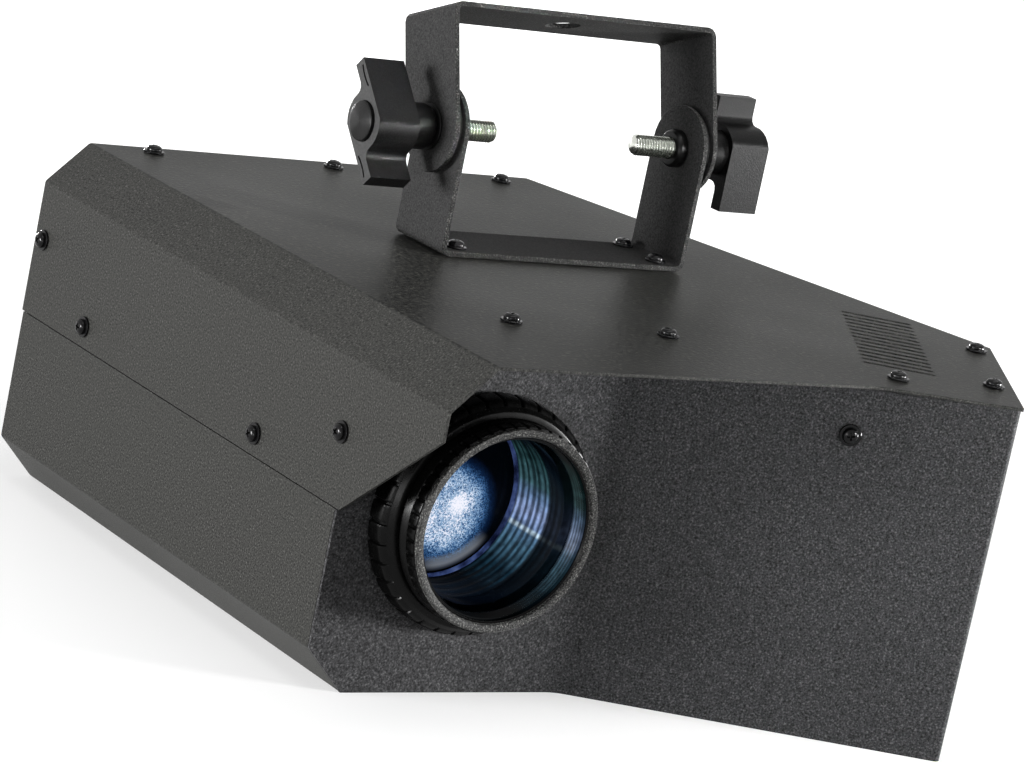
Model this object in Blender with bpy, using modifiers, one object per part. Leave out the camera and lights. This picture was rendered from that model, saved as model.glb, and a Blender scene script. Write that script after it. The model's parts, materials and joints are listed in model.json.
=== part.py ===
"""LED flower effect light: a folded steel projector that hangs in a tilting yoke.

Metres, +Z up. The lens looks along -Y, +X is to the right of someone facing the lens.
The origin lies on the underside of the housing, straight below the tilt axis.
"""
import math

import bmesh
import bpy
from mathutils import Matrix, Vector

# Clearances
GAP = 0.0003
BORE_GAP = 0.0003

# Folded housing, outer faces
SHEET = 0.0012
LEFT_WALL_X = -0.140
BACK_WALL_Y = 0.128
LENS_FACE_Y = -0.1105
BODY_HEIGHT = 0.133
CHAMFER = 0.016
SEAM_HEIGHT = 0.066
WING_CORNER = Vector((0.087, -0.1825))
END_CORNER = Vector((0.1375, -0.102))
BACK_CORNER_X = 0.0785
BEND_RADIUS = 0.0022
CREASE_RADIUS = 0.015
FLANGE = 0.012
COVER_LIP = 0.0012
END_LIP = 0.0003

# Hood of the cover over the lens face
HOOD_REACH = 0.053
HOOD_CORNER_X = 0.037
HOOD_CORNER_RADIUS = 0.020
HOOD_FRONT_DROP = 0.0265

# Vent slots above the right wing
VENT_COUNT = 15
VENT_PITCH = 0.0060
VENT_LENGTH = 0.0281
VENT_WIDTH = 0.0029
VENT_INSET = 0.028
VENT_START = 0.026

# Tilt axis and the two U-shaped straps on it
PIVOT_RISE = 0.0442
STRAP_THICKNESS = 0.002
STRAP_WIDTH = 0.033
STRAP_BEND = 0.0035
BRACKET_HALF = 0.0549
ARM_SPACE = 0.0024
YOKE_RISE = 0.0442
YOKE_LEAN = math.radians(21.0)
HANGING_HOLE = 0.013

# Clamp knobs
STUD_RADIUS = 0.004
STUD_PROUD = 0.0166
NUT_RADIUS = 0.0072
NUT_LENGTH = 0.0040
KNOB_LENGTH = 0.0289
KNOB_WING_LENGTH = 0.0173
KNOB_BOSS_RADIUS = 0.0109
KNOB_HUB_RADIUS = 0.0085
KNOB_WING_REACH = 0.0209
KNOB_WING_INNER = 0.0042
KNOB_WING_OUTER = 0.0098
KNOB_CAP_RADIUS = 0.0073
KNOB_WASHER = 0.0010
LEFT_KNOB_TURN = math.radians(135)
RIGHT_KNOB_TURN = math.radians(90)
FRICTION_RADIUS = 0.015
KNOB_CAP_SEAT = 0.0012
KNOB_SLOT = 0.0008
KNOB_CAP_CROWN = 0.0015

# Lens, distances in front of the lens face
LENS_X = -0.084
LENS_Z = BODY_HEIGHT / 2
RING_BACK = 0.0009
RING_WALL = 0.0034
CREASE_SPACE = 0.0061
RING_GRIP_END = 0.0084
RING_FRONT = 0.0095
RING_STEP = 0.0046
RING_LIP_FRONT = 0.0105
RING_RIBS = 36
RING_GROOVE = 0.0012
RING_GROOVE_DEPTH = 0.0009
RING_FIRST_GROOVE = 8.7
BARREL_RADIUS = 0.0370
BARREL_FRONT = 0.0155
BARREL_BACK = -0.026
BARREL_WALL = 0.0060
NECK_STEP = 0.0020
NECK_FRONT = 0.0195
LENS_SEAT = 0.0090
FRONT_LENS_WALL = 0.0037
REAR_LENS_WALL = 0.0040
REAR_SEAT = 0.0055
MOUNT_WALL = 0.0027
MOUNT_FRONT = 0.0080
MOUNT_FLANGE_WIDTH = 0.0100
MOUNT_PLATE = 0.003
KNURL_PROUD = 0.0003
KNURL_END = 0.0210
RIM_STEP = 0.0004
RIM_WALL = 0.0028
RIM_FRONT = 0.0220

# Light engine, distances behind the lens face
WHEEL_OFFSET_X = 0.038
WHEEL_RADIUS = 0.056
WHEEL_DEPTH = 0.046
WHEEL_THICKNESS = 0.0015
WHEEL_HOLES = 6
WHEEL_HOLE_RADIUS = 0.0130
PLATE_DEPTH = 0.071
PLATE_THICKNESS = 0.002
PLATE_LEFT = -0.118
PLATE_RIGHT = 0.010
PLATE_TOP = 0.118
LED_FRONT = 0.0495
COLLAR_RADIUS = 0.021
COLLAR_WALL = 0.0025
MOTOR_RADIUS = 0.0165
MOTOR_LENGTH = 0.0195
SHAFT_RADIUS = 0.0025
HEAT_SINK_SIZE = 0.080
HEAT_SINK_BASE = 0.008
HEAT_SINK_FIN = 0.032
HEAT_SINK_FINS = 12
FIN_THICKNESS = 0.0018
FAN_SIZE = 0.080
FAN_DEPTH = 0.025
FAN_BORE = 0.038
FAN_BLADES = 7
FAN_HUB = 0.016
FAN_HOLES = 0.0355
GRILLE_SLOTS = 11
GRILLE_SLOT = 0.0030

# Fasteners
SCREW_RADIUS = 0.0015
SCREW_HOLE = 0.0018
SCREW_HEAD_RADIUS = 0.0030
SCREW_HEAD_HEIGHT = 0.0021
SCREW_WASHER_RADIUS = 0.0040
SCREW_WASHER = 0.0007
SCREW_LENGTH = 0.006

# Rear fittings, places on the back wall as X and Z
INLET_PLACE = Vector((0.000, 0.034))
INPUT_PLACE = Vector((0.056, 0.098))
OUTPUT_PLACE = Vector((0.056, 0.060))
DISPLAY_PLACE = Vector((0.000, 0.103))
BUTTON_ROW_Z = 0.080
BUTTON_PITCH = 0.013
BUTTON_RADIUS = 0.0032
BUTTON_TRAVEL = 0.001
EYE_PLACE = Vector((-0.030, 0.112))
EYE_SHANK = 0.0028
EYE_COLLAR = 0.0025
EYE_COLLAR_RADIUS = 0.0060
EYE_RADIUS = 0.0090
EYE_ROD = 0.0019
BOARD_GAP = 0.0090
SOCKET_RADIUS = 0.0119
SHELL_BORE = 0.0093
PIN_CIRCLE = 0.0048
PIN_RECESS = 0.0150
PIN_STOP = 0.0052

# Values that follow from the ones above
COVER_UNDER = BODY_HEIGHT - SHEET
WALL_TOP = COVER_UNDER - GAP
PIVOT_Z = BODY_HEIGHT + PIVOT_RISE
LINER = SHEET + GAP
ARM_RADIUS = STRAP_WIDTH / 2
YOKE_HALF = BRACKET_HALF + ARM_SPACE + STRAP_THICKNESS
KNOB_OUTER_X = YOKE_HALF + KNOB_LENGTH
STUD_TIP_X = BRACKET_HALF - STRAP_THICKNESS - GAP - NUT_LENGTH - STUD_PROUD
BARREL_BORE = BARREL_RADIUS - BARREL_WALL
BARREL_NECK = BARREL_RADIUS - NECK_STEP
FRONT_LENS_RADIUS = BARREL_RADIUS - FRONT_LENS_WALL
REAR_LENS_RADIUS = BARREL_RADIUS - REAR_LENS_WALL
MOUNT_RADIUS = BARREL_RADIUS + BORE_GAP + MOUNT_WALL
MOUNT_FLANGE = MOUNT_RADIUS + MOUNT_FLANGE_WIDTH
RING_RADIUS = MOUNT_RADIUS + RING_WALL
RING_STEP_RADIUS = RING_RADIUS - RING_STEP
CREASE_X = LENS_X + RING_RADIUS + CREASE_SPACE
KNURL_RADIUS = BARREL_RADIUS + KNURL_PROUD
RIM_RADIUS = BARREL_RADIUS - RIM_STEP
RIM_BORE = RIM_RADIUS - RIM_WALL
CONDENSER_RADIUS = COLLAR_RADIUS - COLLAR_WALL
HOOD_FRONT_Y = LENS_FACE_Y - HOOD_REACH
LEFT_FRONT = Vector((LEFT_WALL_X, LENS_FACE_Y))
CREASE = Vector((CREASE_X, LENS_FACE_Y))
BACK_CORNER = Vector((BACK_CORNER_X, BACK_WALL_Y))
LEFT_BACK = Vector((LEFT_WALL_X, BACK_WALL_Y))
OUTSIDE = 0.03

# Drawing planes: an outline's own X and Y become the two axes named, its thickness runs along the third
PLAN = Matrix.Identity(4)
FRONT = Matrix(((1, 0, 0, 0), (0, 0, -1, 0), (0, 1, 0, 0), (0, 0, 0, 1)))
SIDE = Matrix(((0, 0, 1, 0), (1, 0, 0, 0), (0, 1, 0, 0), (0, 0, 0, 1)))
LENS_AXIS = Matrix.Translation((LENS_X, LENS_FACE_Y, LENS_Z)) @ FRONT


def start_scene():
    for item in list(bpy.data.objects):
        bpy.data.objects.remove(item)
    made = []
    for name in ("led_flower_effect_light", "cutters"):
        group = bpy.data.collections.new(name)
        bpy.context.scene.collection.children.link(group)
        made.append(group)
    return made


PARTS, CUTTERS = start_scene()


def make_material(name, colour, roughness, metallic=0.0):
    made = bpy.data.materials.new(name)
    made.use_nodes = True
    shader = made.node_tree.nodes["Principled BSDF"]
    shader.inputs["Base Color"].default_value = (*colour, 1.0)
    shader.inputs["Roughness"].default_value = roughness
    shader.inputs["Metallic"].default_value = metallic
    return made


POWDER_COAT = make_material("black_powder_coat", (0.045, 0.045, 0.044), 0.62)
BLACK_STEEL = make_material("blackened_steel", (0.020, 0.020, 0.021), 0.35, 0.7)
GLOSS_PLASTIC = make_material("gloss_black_plastic", (0.012, 0.012, 0.013), 0.22)
MATTE_PLASTIC = make_material("matte_black_plastic", (0.022, 0.022, 0.023), 0.55)
COARSE_COAT = make_material("coarse_black_coat", (0.060, 0.060, 0.062), 0.75)
ZINC = make_material("zinc_plate", (0.72, 0.72, 0.68), 0.25, 1.0)
RUBBER = make_material("black_rubber", (0.015, 0.015, 0.015), 0.85)
GLASS = make_material("coated_glass", (0.55, 0.70, 0.85), 0.05)
ALUMINIUM = make_material("raw_aluminium", (0.62, 0.63, 0.65), 0.40, 1.0)
CIRCUIT = make_material("green_circuit_board", (0.03, 0.16, 0.07), 0.50)
BOARD_WHITE = make_material("white_circuit_board", (0.80, 0.80, 0.78), 0.45)
MIRROR_PLATE = make_material("bright_wheel_plate", (0.55, 0.56, 0.58), 0.30, 1.0)


# Outline helpers, all in the outline's own two axes

def turn_left(direction):
    return Vector((-direction.y, direction.x))


def corner_arc(before, corner, after, radius, steps):
    into = (corner - before).normalized()
    out = (after - corner).normalized()
    turn = into.angle_signed(out) * -1
    if abs(turn) < 1e-6:
        return [corner]
    reach = radius * math.tan(abs(turn) / 2)
    side = 1 if turn > 0 else -1
    centre = corner - into * reach + turn_left(into) * radius * side
    start = corner - into * reach - centre
    points = []
    for step in range(steps + 1):
        angle = turn * step / steps
        spun = Matrix.Rotation(angle, 2) @ start
        points.append(centre + spun)
    return points


def rounded(points, radii, steps=3, closed=False):
    """Swap corners for arcs. radii is one radius for all corners or one for each point."""
    points = [Vector(point) for point in points]
    count = len(points)
    if not isinstance(radii, (list, tuple)):
        radii = [radii] * count
    result = []
    for index, corner in enumerate(points):
        is_end = not closed and index in (0, count - 1)
        if is_end or radii[index] <= 0:
            result.append(corner)
            continue
        before = points[index - 1]
        after = points[(index + 1) % count]
        result += corner_arc(before, corner, after, radii[index], steps)
    return result


def circle_points(centre, radius, count):
    centre = Vector(centre)
    turns = [2 * math.pi * step / count for step in range(count)]
    return [centre + radius * Vector((math.cos(turn), math.sin(turn))) for turn in turns]


def rectangle(low, high):
    return [Vector(low), Vector((high[0], low[1])), Vector(high), Vector((low[0], high[1]))]


def slot_points(centre, along, length, width, steps=3):
    """A slot with round ends, centred on a point and running along a unit direction."""
    centre = Vector(centre)
    across = turn_left(along)
    points = []
    for side in (1, -1):
        middle = centre + along * side * (length - width) / 2
        for step in range(steps + 1):
            angle = math.pi * (step / steps - 0.5)
            offset = along * side * math.cos(angle) + across * side * math.sin(angle)
            points.append(middle + offset * width / 2)
    return points


def cross_lines(first, first_direction, second, second_direction):
    """Where two lines meet, each given by a point and a direction."""
    base = first_direction.x * second_direction.y - first_direction.y * second_direction.x
    gap = second - first
    share = (gap.x * second_direction.y - gap.y * second_direction.x) / base
    return first + first_direction * share


def offset_outline(points, distances):
    """Move each edge of a counter-clockwise outline outwards by its own distance."""
    count = len(points)
    moved = []
    for index in range(count):
        start = Vector(points[index])
        direction = (Vector(points[(index + 1) % count]) - start).normalized()
        moved.append((start - turn_left(direction) * distances[index], direction))
    return [cross_lines(*moved[index - 1], *moved[index]) for index in range(count)]


# Object helpers

def add_object(name, mesh, material=None, place=None):
    made = bpy.data.objects.new(name, mesh)
    if material is None:
        CUTTERS.objects.link(made)
        made.hide_render = True
        made.display_type = 'WIRE'
    else:
        PARTS.objects.link(made)
        mesh.materials.clear()
        mesh.materials.append(material)
    if place is not None:
        made.matrix_world = place
    return made


def bake(target):
    """Turn an object's modifiers or curve into a plain closed mesh."""
    bpy.context.view_layer.update()
    graph = bpy.context.evaluated_depsgraph_get()
    mesh = bpy.data.meshes.new_from_object(target.evaluated_get(graph))
    shape = bmesh.new()
    shape.from_mesh(mesh)
    bmesh.ops.remove_doubles(shape, verts=shape.verts, dist=1e-6)
    shape.to_mesh(mesh)
    shape.free()
    return mesh


def settle(target):
    """Bake an object in place and shade it smooth between its sharp edges."""
    mesh = bake(target)
    target.modifiers.clear()
    target.data = mesh
    mesh.shade_smooth()
    mesh.set_sharp_from_angle(angle=math.radians(32))
    return target


def flat_outline(name, loops, thickness, material=None, place=PLAN):
    """A flat shape from closed outlines, holes included, centred on its drawing plane."""
    curve = bpy.data.curves.new(name, 'CURVE')
    curve.dimensions = '2D'
    curve.fill_mode = 'BOTH'
    curve.extrude = thickness / 2
    for loop in loops:
        spline = curve.splines.new('POLY')
        spline.points.add(len(loop) - 1)
        for point, target in zip(loop, spline.points):
            target.co = (point[0], point[1], 0, 1)
        spline.use_cyclic_u = True
    drawn = bpy.data.objects.new(name + "_curve", curve)
    CUTTERS.objects.link(drawn)
    mesh = bake(drawn)
    bpy.data.objects.remove(drawn)
    bpy.data.curves.remove(curve)
    if len(loops) == 1:
        merge_caps(mesh)
    return add_object(name, mesh, material, place)


def merge_caps(mesh):
    """Make each flat end of a shape without holes one face again."""
    shape = bmesh.new()
    shape.from_mesh(mesh)
    bmesh.ops.dissolve_limit(shape, angle_limit=math.radians(0.2), verts=[], edges=shape.edges)
    shape.to_mesh(mesh)
    shape.free()


def between(low, high):
    return Matrix.Translation((0, 0, (low + high) / 2))


def prism(name, loops, low, high, material=None, plane=PLAN):
    """A flat shape drawn on a plane and filling the span from low to high along its normal."""
    return flat_outline(name, loops, high - low, material, plane @ between(low, high))


def box(name, low, high, material=None):
    low = Vector(low)
    high = Vector(high)
    shape = bmesh.new()
    bmesh.ops.create_cube(shape, size=1.0)
    size = Matrix.Diagonal((*(high - low), 1.0))
    bmesh.ops.transform(shape, matrix=Matrix.Translation((low + high) / 2) @ size, verts=shape.verts)
    mesh = bpy.data.meshes.new(name)
    shape.to_mesh(mesh)
    shape.free()
    return add_object(name, mesh, material)


def rod(name, radius, low, high, material=None, place=PLAN, steps=24):
    """A cylinder along its place's own Z axis, from low to high."""
    shape = bmesh.new()
    bmesh.ops.create_cone(shape, cap_ends=True, segments=steps, radius1=radius, radius2=radius,
                          depth=high - low, matrix=between(low, high))
    mesh = bpy.data.meshes.new(name)
    shape.to_mesh(mesh)
    shape.free()
    return add_object(name, mesh, material, place)


def turned(name, profile, steps, material=None, place=PLAN):
    """A profile of radius and height points, in order round its section, spun about the own Z axis."""
    closed = all(point[0] > 1e-6 for point in profile)
    area = 0.0
    for first, second in zip(profile, profile[1:] + profile[:1]):
        area += first[0] * second[1] - second[0] * first[1]
    if area > 0:
        profile = profile[::-1]
    edges = [(index, index + 1) for index in range(len(profile) - 1)]
    if closed:
        edges.append((len(profile) - 1, 0))
    mesh = bpy.data.meshes.new(name)
    mesh.from_pydata([(radius, 0, height) for radius, height in profile], edges, [])
    made = add_object(name, mesh, material, place)
    spin = made.modifiers.new("turn", 'SCREW')
    spin.axis = 'Z'
    spin.steps = steps
    spin.render_steps = steps
    spin.use_merge_vertices = True
    spin.merge_threshold = 1e-6
    return settle(made)


def folded_sheet(name, line, low, high, thickness, plane=PLAN, material=None):
    """An open line on a plane, drawn out from low to high and thickened to the line's left."""
    shape = bmesh.new()
    under = [shape.verts.new((point[0], point[1], low)) for point in line]
    over = [shape.verts.new((point[0], point[1], high)) for point in line]
    for index in range(len(line) - 1):
        shape.faces.new((under[index], under[index + 1], over[index + 1], over[index]))
    mesh = bpy.data.meshes.new(name)
    shape.to_mesh(mesh)
    shape.free()
    made = add_object(name, mesh, material, plane)
    wall = made.modifiers.new("sheet", 'SOLIDIFY')
    wall.thickness = thickness
    wall.offset = -1
    wall.use_even_offset = True
    return settle(made)


def merge_cutters(name, pieces):
    """Join separate cutters that do not touch into one cutter."""
    shape = bmesh.new()
    for piece in pieces:
        moved = piece.data.copy()
        moved.transform(piece.matrix_world)
        shape.from_mesh(moved)
        bpy.data.meshes.remove(moved)
        bpy.data.objects.remove(piece)
    mesh = bpy.data.meshes.new(name)
    shape.to_mesh(mesh)
    shape.free()
    return add_object(name, mesh)


def combine(target, others, operation):
    for other in others:
        step = target.modifiers.new(other.name, 'BOOLEAN')
        step.operation = operation
        step.solver = 'EXACT'
        step.object = other
    settle(target)
    for other in others:
        bpy.data.objects.remove(other)
    return target


def cut(target, *cutters):
    bpy.context.view_layer.update()
    return combine(target, cutters, 'DIFFERENCE')


def join(target, *others):
    bpy.context.view_layer.update()
    return combine(target, others, 'UNION')


def keep_inside(target, other):
    bpy.context.view_layer.update()
    return combine(target, [other], 'INTERSECT')


# Lines of the body in plan

def end_frame():
    """The short right end wall: its start at the wing corner, its direction and its outward normal."""
    along = (END_CORNER - WING_CORNER).normalized()
    return WING_CORNER, along, -turn_left(along)


def wing_frame():
    along = (WING_CORNER - CREASE).normalized()
    return CREASE, along, -turn_left(along)


def side_frame():
    along = (BACK_CORNER - END_CORNER).normalized()
    return END_CORNER, along, -turn_left(along)


def body_plan():
    """Outer faces of the walls, counter-clockwise from the left front corner."""
    return [LEFT_FRONT, CREASE, WING_CORNER, END_CORNER, BACK_CORNER, LEFT_BACK]


def upper_corner_cutter(inset):
    """What lies outside the upper left chamfer, moved in by an inset."""
    return chamfer_cutter("upper_corner", BODY_HEIGHT, -1, inset)


def lower_corner_cutter(inset):
    return chamfer_cutter("lower_corner", 0.0, 1, inset)


def chamfer_cutter(name, level, rise, inset):
    shift = inset * math.tan(math.radians(22.5))
    wall = LEFT_WALL_X + inset
    floor = level + rise * inset
    side_point = Vector((wall, level + rise * (CHAMFER + shift)))
    floor_point = Vector((LEFT_WALL_X + CHAMFER + shift, floor))
    slope = (side_point - floor_point).normalized()
    far = OUTSIDE
    side_far = side_point + slope * far
    floor_far = floor_point - slope * far
    away = Vector((-1, -rise)).normalized() * 2 * far
    loop = [floor_far, side_far, side_far + away, floor_far + away]
    reach = BACK_WALL_Y - LENS_FACE_Y + 4 * OUTSIDE
    return prism(name, [loop], -reach, reach, plane=FRONT)


# Screws

def screw_profile(grip):
    """Pan head with a washer, seated a gap above z = 0, with its shank going down."""
    seat = GAP
    top = seat + SCREW_WASHER
    crown = top + SCREW_HEAD_HEIGHT
    return [
        (0, crown),
        (SCREW_HEAD_RADIUS * 0.78, crown - 0.0004),
        (SCREW_HEAD_RADIUS, top),
        (SCREW_WASHER_RADIUS, top),
        (SCREW_WASHER_RADIUS, seat),
        (SCREW_RADIUS, seat),
        (SCREW_RADIUS, -grip),
        (0, -grip),
    ]


def add_screw(name, point, normal):
    place = Matrix.Translation(point) @ Vector((0, 0, 1)).rotation_difference(Vector(normal)).to_matrix().to_4x4()
    return turned(name, screw_profile(SCREW_LENGTH), 8, BLACK_STEEL, place)


def hole_cutter(point, normal, radius=SCREW_HOLE, reach=0.01, steps=8):
    place = Matrix.Translation(point) @ Vector((0, 0, 1)).rotation_difference(Vector(normal)).to_matrix().to_4x4()
    return rod("hole", radius, -reach, reach, place=place, steps=steps)


def inward(frame, along, depth):
    """A plan point at a distance along a wall and a depth behind its outer face."""
    start, direction, normal = frame
    return start + direction * along - normal * depth


def top_screw_points():
    """Eight cover screws: three at the back, two behind the lens face, one on the wing, two at the end."""
    inset = 0.0065
    wing = wing_frame()
    end = end_frame()
    wing_length = (WING_CORNER - CREASE).length
    end_length = (END_CORNER - WING_CORNER).length
    rear = [(LEFT_WALL_X + 0.0390, 0.0080), (-0.0205, 0.0090), (BACK_CORNER_X - 0.0195, 0.0095)]
    points = [Vector((x, BACK_WALL_Y - depth)) for x, depth in rear]
    points.append(Vector((LENS_X + 0.0035, LENS_FACE_Y + inset)))
    points.append(inward(wing, 0.0141, 0.0066))
    points.append(inward(wing, wing_length - 0.0441, 0.0078))
    points.append(inward(end, end_length - 0.011, inset))
    points.append(inward(end, 0.0256, 0.0074))
    return [Vector((point.x, point.y, BODY_HEIGHT)) for point in points]


def side_screw_points():
    """Four screws in the left flap: one at each end, two low ones into the tray."""
    rise = BODY_HEIGHT - CHAMFER - 0.0215
    low = SEAM_HEIGHT + 0.0077
    places = [(BACK_WALL_Y - 0.006, rise), (0.080, low), (-0.0507, low), (LENS_FACE_Y + 0.006, rise - 0.004)]
    return [Vector((LEFT_WALL_X, y, z)) for y, z in places]


def wing_screw_place():
    point = inward(wing_frame(), 0.0835, 0.0)
    normal = wing_frame()[2]
    return Vector((point.x, point.y, BODY_HEIGHT - 0.021)), Vector((normal.x, normal.y, 0))


def bracket_screw_points():
    spread_x = BRACKET_HALF - 0.0096
    spread_y = 0.011
    level = BODY_HEIGHT + GAP + STRAP_THICKNESS
    return [Vector((x, y, level)) for x in (-spread_x, spread_x) for y in (-spread_y, spread_y)]


# Housing

def cover_outline():
    plan = [LEFT_FRONT, CREASE, WING_CORNER, END_CORNER, BACK_CORNER, LEFT_BACK]
    lip = offset_outline(plan, [0, COVER_LIP, END_LIP, END_LIP, COVER_LIP, 0])
    nose = lip[2]
    hood_corner = Vector((HOOD_CORNER_X, HOOD_FRONT_Y))
    points = [
        Vector((LEFT_WALL_X - OUTSIDE, HOOD_FRONT_Y)),
        hood_corner,
        nose,
        lip[3],
        lip[4],
        Vector((LEFT_WALL_X - OUTSIDE, BACK_WALL_Y + COVER_LIP)),
    ]
    return rounded(points, [0, HOOD_CORNER_RADIUS, 0, 0, 0, 0], steps=4, closed=True)


def vent_cutters():
    corner, along, normal = end_frame()
    across = -normal
    slots = []
    for index in range(VENT_COUNT):
        row = corner + along * (VENT_START + index * VENT_PITCH)
        centre = row + across * (VENT_INSET + VENT_LENGTH / 2)
        loop = slot_points(centre, across, VENT_LENGTH, VENT_WIDTH, 2)
        slots.append(prism("vent", [loop], BODY_HEIGHT - 0.005, BODY_HEIGHT + 0.005))
    return merge_cutters("vents", slots)


def add_top_cover():
    right = END_CORNER.x + OUTSIDE
    line = rounded([
        (right, BODY_HEIGHT),
        (LEFT_WALL_X + CHAMFER, BODY_HEIGHT),
        (LEFT_WALL_X, BODY_HEIGHT - CHAMFER),
        (LEFT_WALL_X, SEAM_HEIGHT),
    ], BEND_RADIUS)
    reach = BACK_WALL_Y - HOOD_FRONT_Y + OUTSIDE
    cover = folded_sheet("top_cover", line, -reach, reach, SHEET, FRONT, POWDER_COAT)
    keep_inside(cover, prism("cover_plan", [cover_outline()], -OUTSIDE, BODY_HEIGHT + OUTSIDE))
    lip_level = BODY_HEIGHT - HOOD_FRONT_DROP
    top_point = Vector((HOOD_FRONT_Y, lip_level))
    low_point = Vector((LENS_FACE_Y - 0.001, SEAM_HEIGHT))
    past = (low_point - top_point) * 0.3
    away = Vector((-OUTSIDE, -OUTSIDE))
    flap_corner = [top_point - past, low_point + past, low_point + past + away, top_point - past + away]
    flap_cut = prism("flap_cut", [flap_corner], LEFT_WALL_X - 0.01, LEFT_WALL_X + 0.01, plane=SIDE)
    holes = [hole_cutter(point, (0, 0, 1)) for point in top_screw_points()]
    holes += [hole_cutter(point, (1, 0, 0), reach=0.003) for point in side_screw_points()]
    for point in bracket_screw_points():
        holes.append(hole_cutter(point, (0, 0, 1)))
    return cut(cover, flap_cut, vent_cutters(), merge_cutters("cover_holes", holes))


def add_base_tray():
    right = END_CORNER.x + OUTSIDE
    liner_x = LEFT_WALL_X + LINER
    line = rounded([
        (liner_x, SEAM_HEIGHT + 0.014),
        (liner_x, SEAM_HEIGHT - GAP),
        (LEFT_WALL_X, SEAM_HEIGHT - GAP),
        (LEFT_WALL_X, CHAMFER),
        (LEFT_WALL_X + CHAMFER, 0),
        (right, 0),
    ], [0, 0, 0, BEND_RADIUS, BEND_RADIUS, 0])
    reach = BACK_WALL_Y - HOOD_FRONT_Y + OUTSIDE
    tray = folded_sheet("base_tray", line, -reach, reach, SHEET, FRONT, POWDER_COAT)
    plan = offset_outline(body_plan(), [-LINER, -LINER, -LINER, 0, 0, OUTSIDE])
    plan = rounded(plan, [0, 0, BEND_RADIUS, 0, 0, 0], steps=2, closed=True)
    keep_inside(tray, prism("tray_plan", [plan], -OUTSIDE, BODY_HEIGHT))
    relief = []
    for start, stop in ((BACK_WALL_Y - 0.004, BACK_WALL_Y + OUTSIDE), (LENS_FACE_Y - OUTSIDE, LENS_FACE_Y + 0.018)):
        low = (LEFT_WALL_X + SHEET + GAP / 2, start, SEAM_HEIGHT - 0.004)
        high = (LEFT_WALL_X + OUTSIDE, stop, SEAM_HEIGHT + OUTSIDE)
        relief.append(box("relief", low, high))
    holes = [hole_cutter(point, (1, 0, 0), reach=0.006) for point in side_screw_points()[1:3]]
    return cut(tray, merge_cutters("tray_reliefs", relief), merge_cutters("tray_holes", holes))


def flange_strip(frame, start, stop):
    """A flange under the cover, folded in from the top of a wall, with mitred ends."""
    origin, along, normal = frame
    root = GAP * 2
    points = [
        origin + along * start - normal * root,
        origin + along * stop - normal * root,
        origin + along * (stop - FLANGE / 2) - normal * FLANGE,
        origin + along * (start + FLANGE / 2) - normal * FLANGE,
    ]
    top = WALL_TOP - GAP / 3
    return prism("flange", [points], top - SHEET, top)


def add_front_panel():
    side_start, side_along, side_normal = side_frame()
    end_start, end_along, end_normal = end_frame()
    tuck = cross_lines(end_start, end_along, side_start - side_normal * LINER, side_along)
    line = rounded([LEFT_FRONT, CREASE, WING_CORNER, tuck, tuck + side_along * FLANGE],
                   [0, CREASE_RADIUS, BEND_RADIUS, BEND_RADIUS, 0], steps=4)
    panel = folded_sheet("front_panel", line, 0.0, WALL_TOP, SHEET, PLAN, POWDER_COAT)
    lens_face = (LEFT_FRONT, Vector((1, 0)), Vector((0, -1)))
    wing_length = (WING_CORNER - CREASE).length
    end_length = (END_CORNER - WING_CORNER).length
    join(panel,
         flange_strip(lens_face, CHAMFER + 0.010, CREASE_X - LEFT_WALL_X - 0.008),
         flange_strip(wing_frame(), 0.010, wing_length - 0.006),
         flange_strip(end_frame(), 0.006, end_length - 0.006))
    tab_x = LEFT_WALL_X + LINER + GAP / 2
    tab_z = side_screw_points()[3].z
    tab = box("tab", (tab_x, LENS_FACE_Y + SHEET / 2, tab_z - 0.010),
              (tab_x + SHEET, LENS_FACE_Y + FLANGE, tab_z + 0.010))
    join(panel, tab)
    flap_room = box("flap_room", (LEFT_WALL_X - OUTSIDE, LENS_FACE_Y - 0.01, SEAM_HEIGHT - GAP),
                    (LEFT_WALL_X + LINER, LENS_FACE_Y + OUTSIDE, BODY_HEIGHT + OUTSIDE))
    near = -(SHEET + GAP / 2)
    tray_plan = offset_outline(body_plan(), [near, near, near, OUTSIDE, OUTSIDE, OUTSIDE])
    tuck_room = prism("tuck_room", [tray_plan], -0.01, LINER)
    bore = rod("lens_bore", MOUNT_RADIUS + 0.0006, -0.01, 0.01, place=LENS_AXIS, steps=48)
    holes = [hole_cutter(point, (0, 0, 1), reach=0.006) for point in top_screw_points()[3:]]
    holes.append(hole_cutter(*wing_screw_place()))
    holes.append(hole_cutter(side_screw_points()[3], (1, 0, 0), reach=0.006))
    return cut(panel, upper_corner_cutter(LINER), lower_corner_cutter(0.0), flap_room, tuck_room, bore,
               merge_cutters("panel_holes", holes))


def inlet_half():
    return Vector((0.0235, 0.0130))


def display_half():
    return Vector((0.0190, 0.0080))


def button_places():
    return [Vector((DISPLAY_PLACE.x + BUTTON_PITCH * step, BUTTON_ROW_Z)) for step in (-1.5, -0.5, 0.5, 1.5)]


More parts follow.
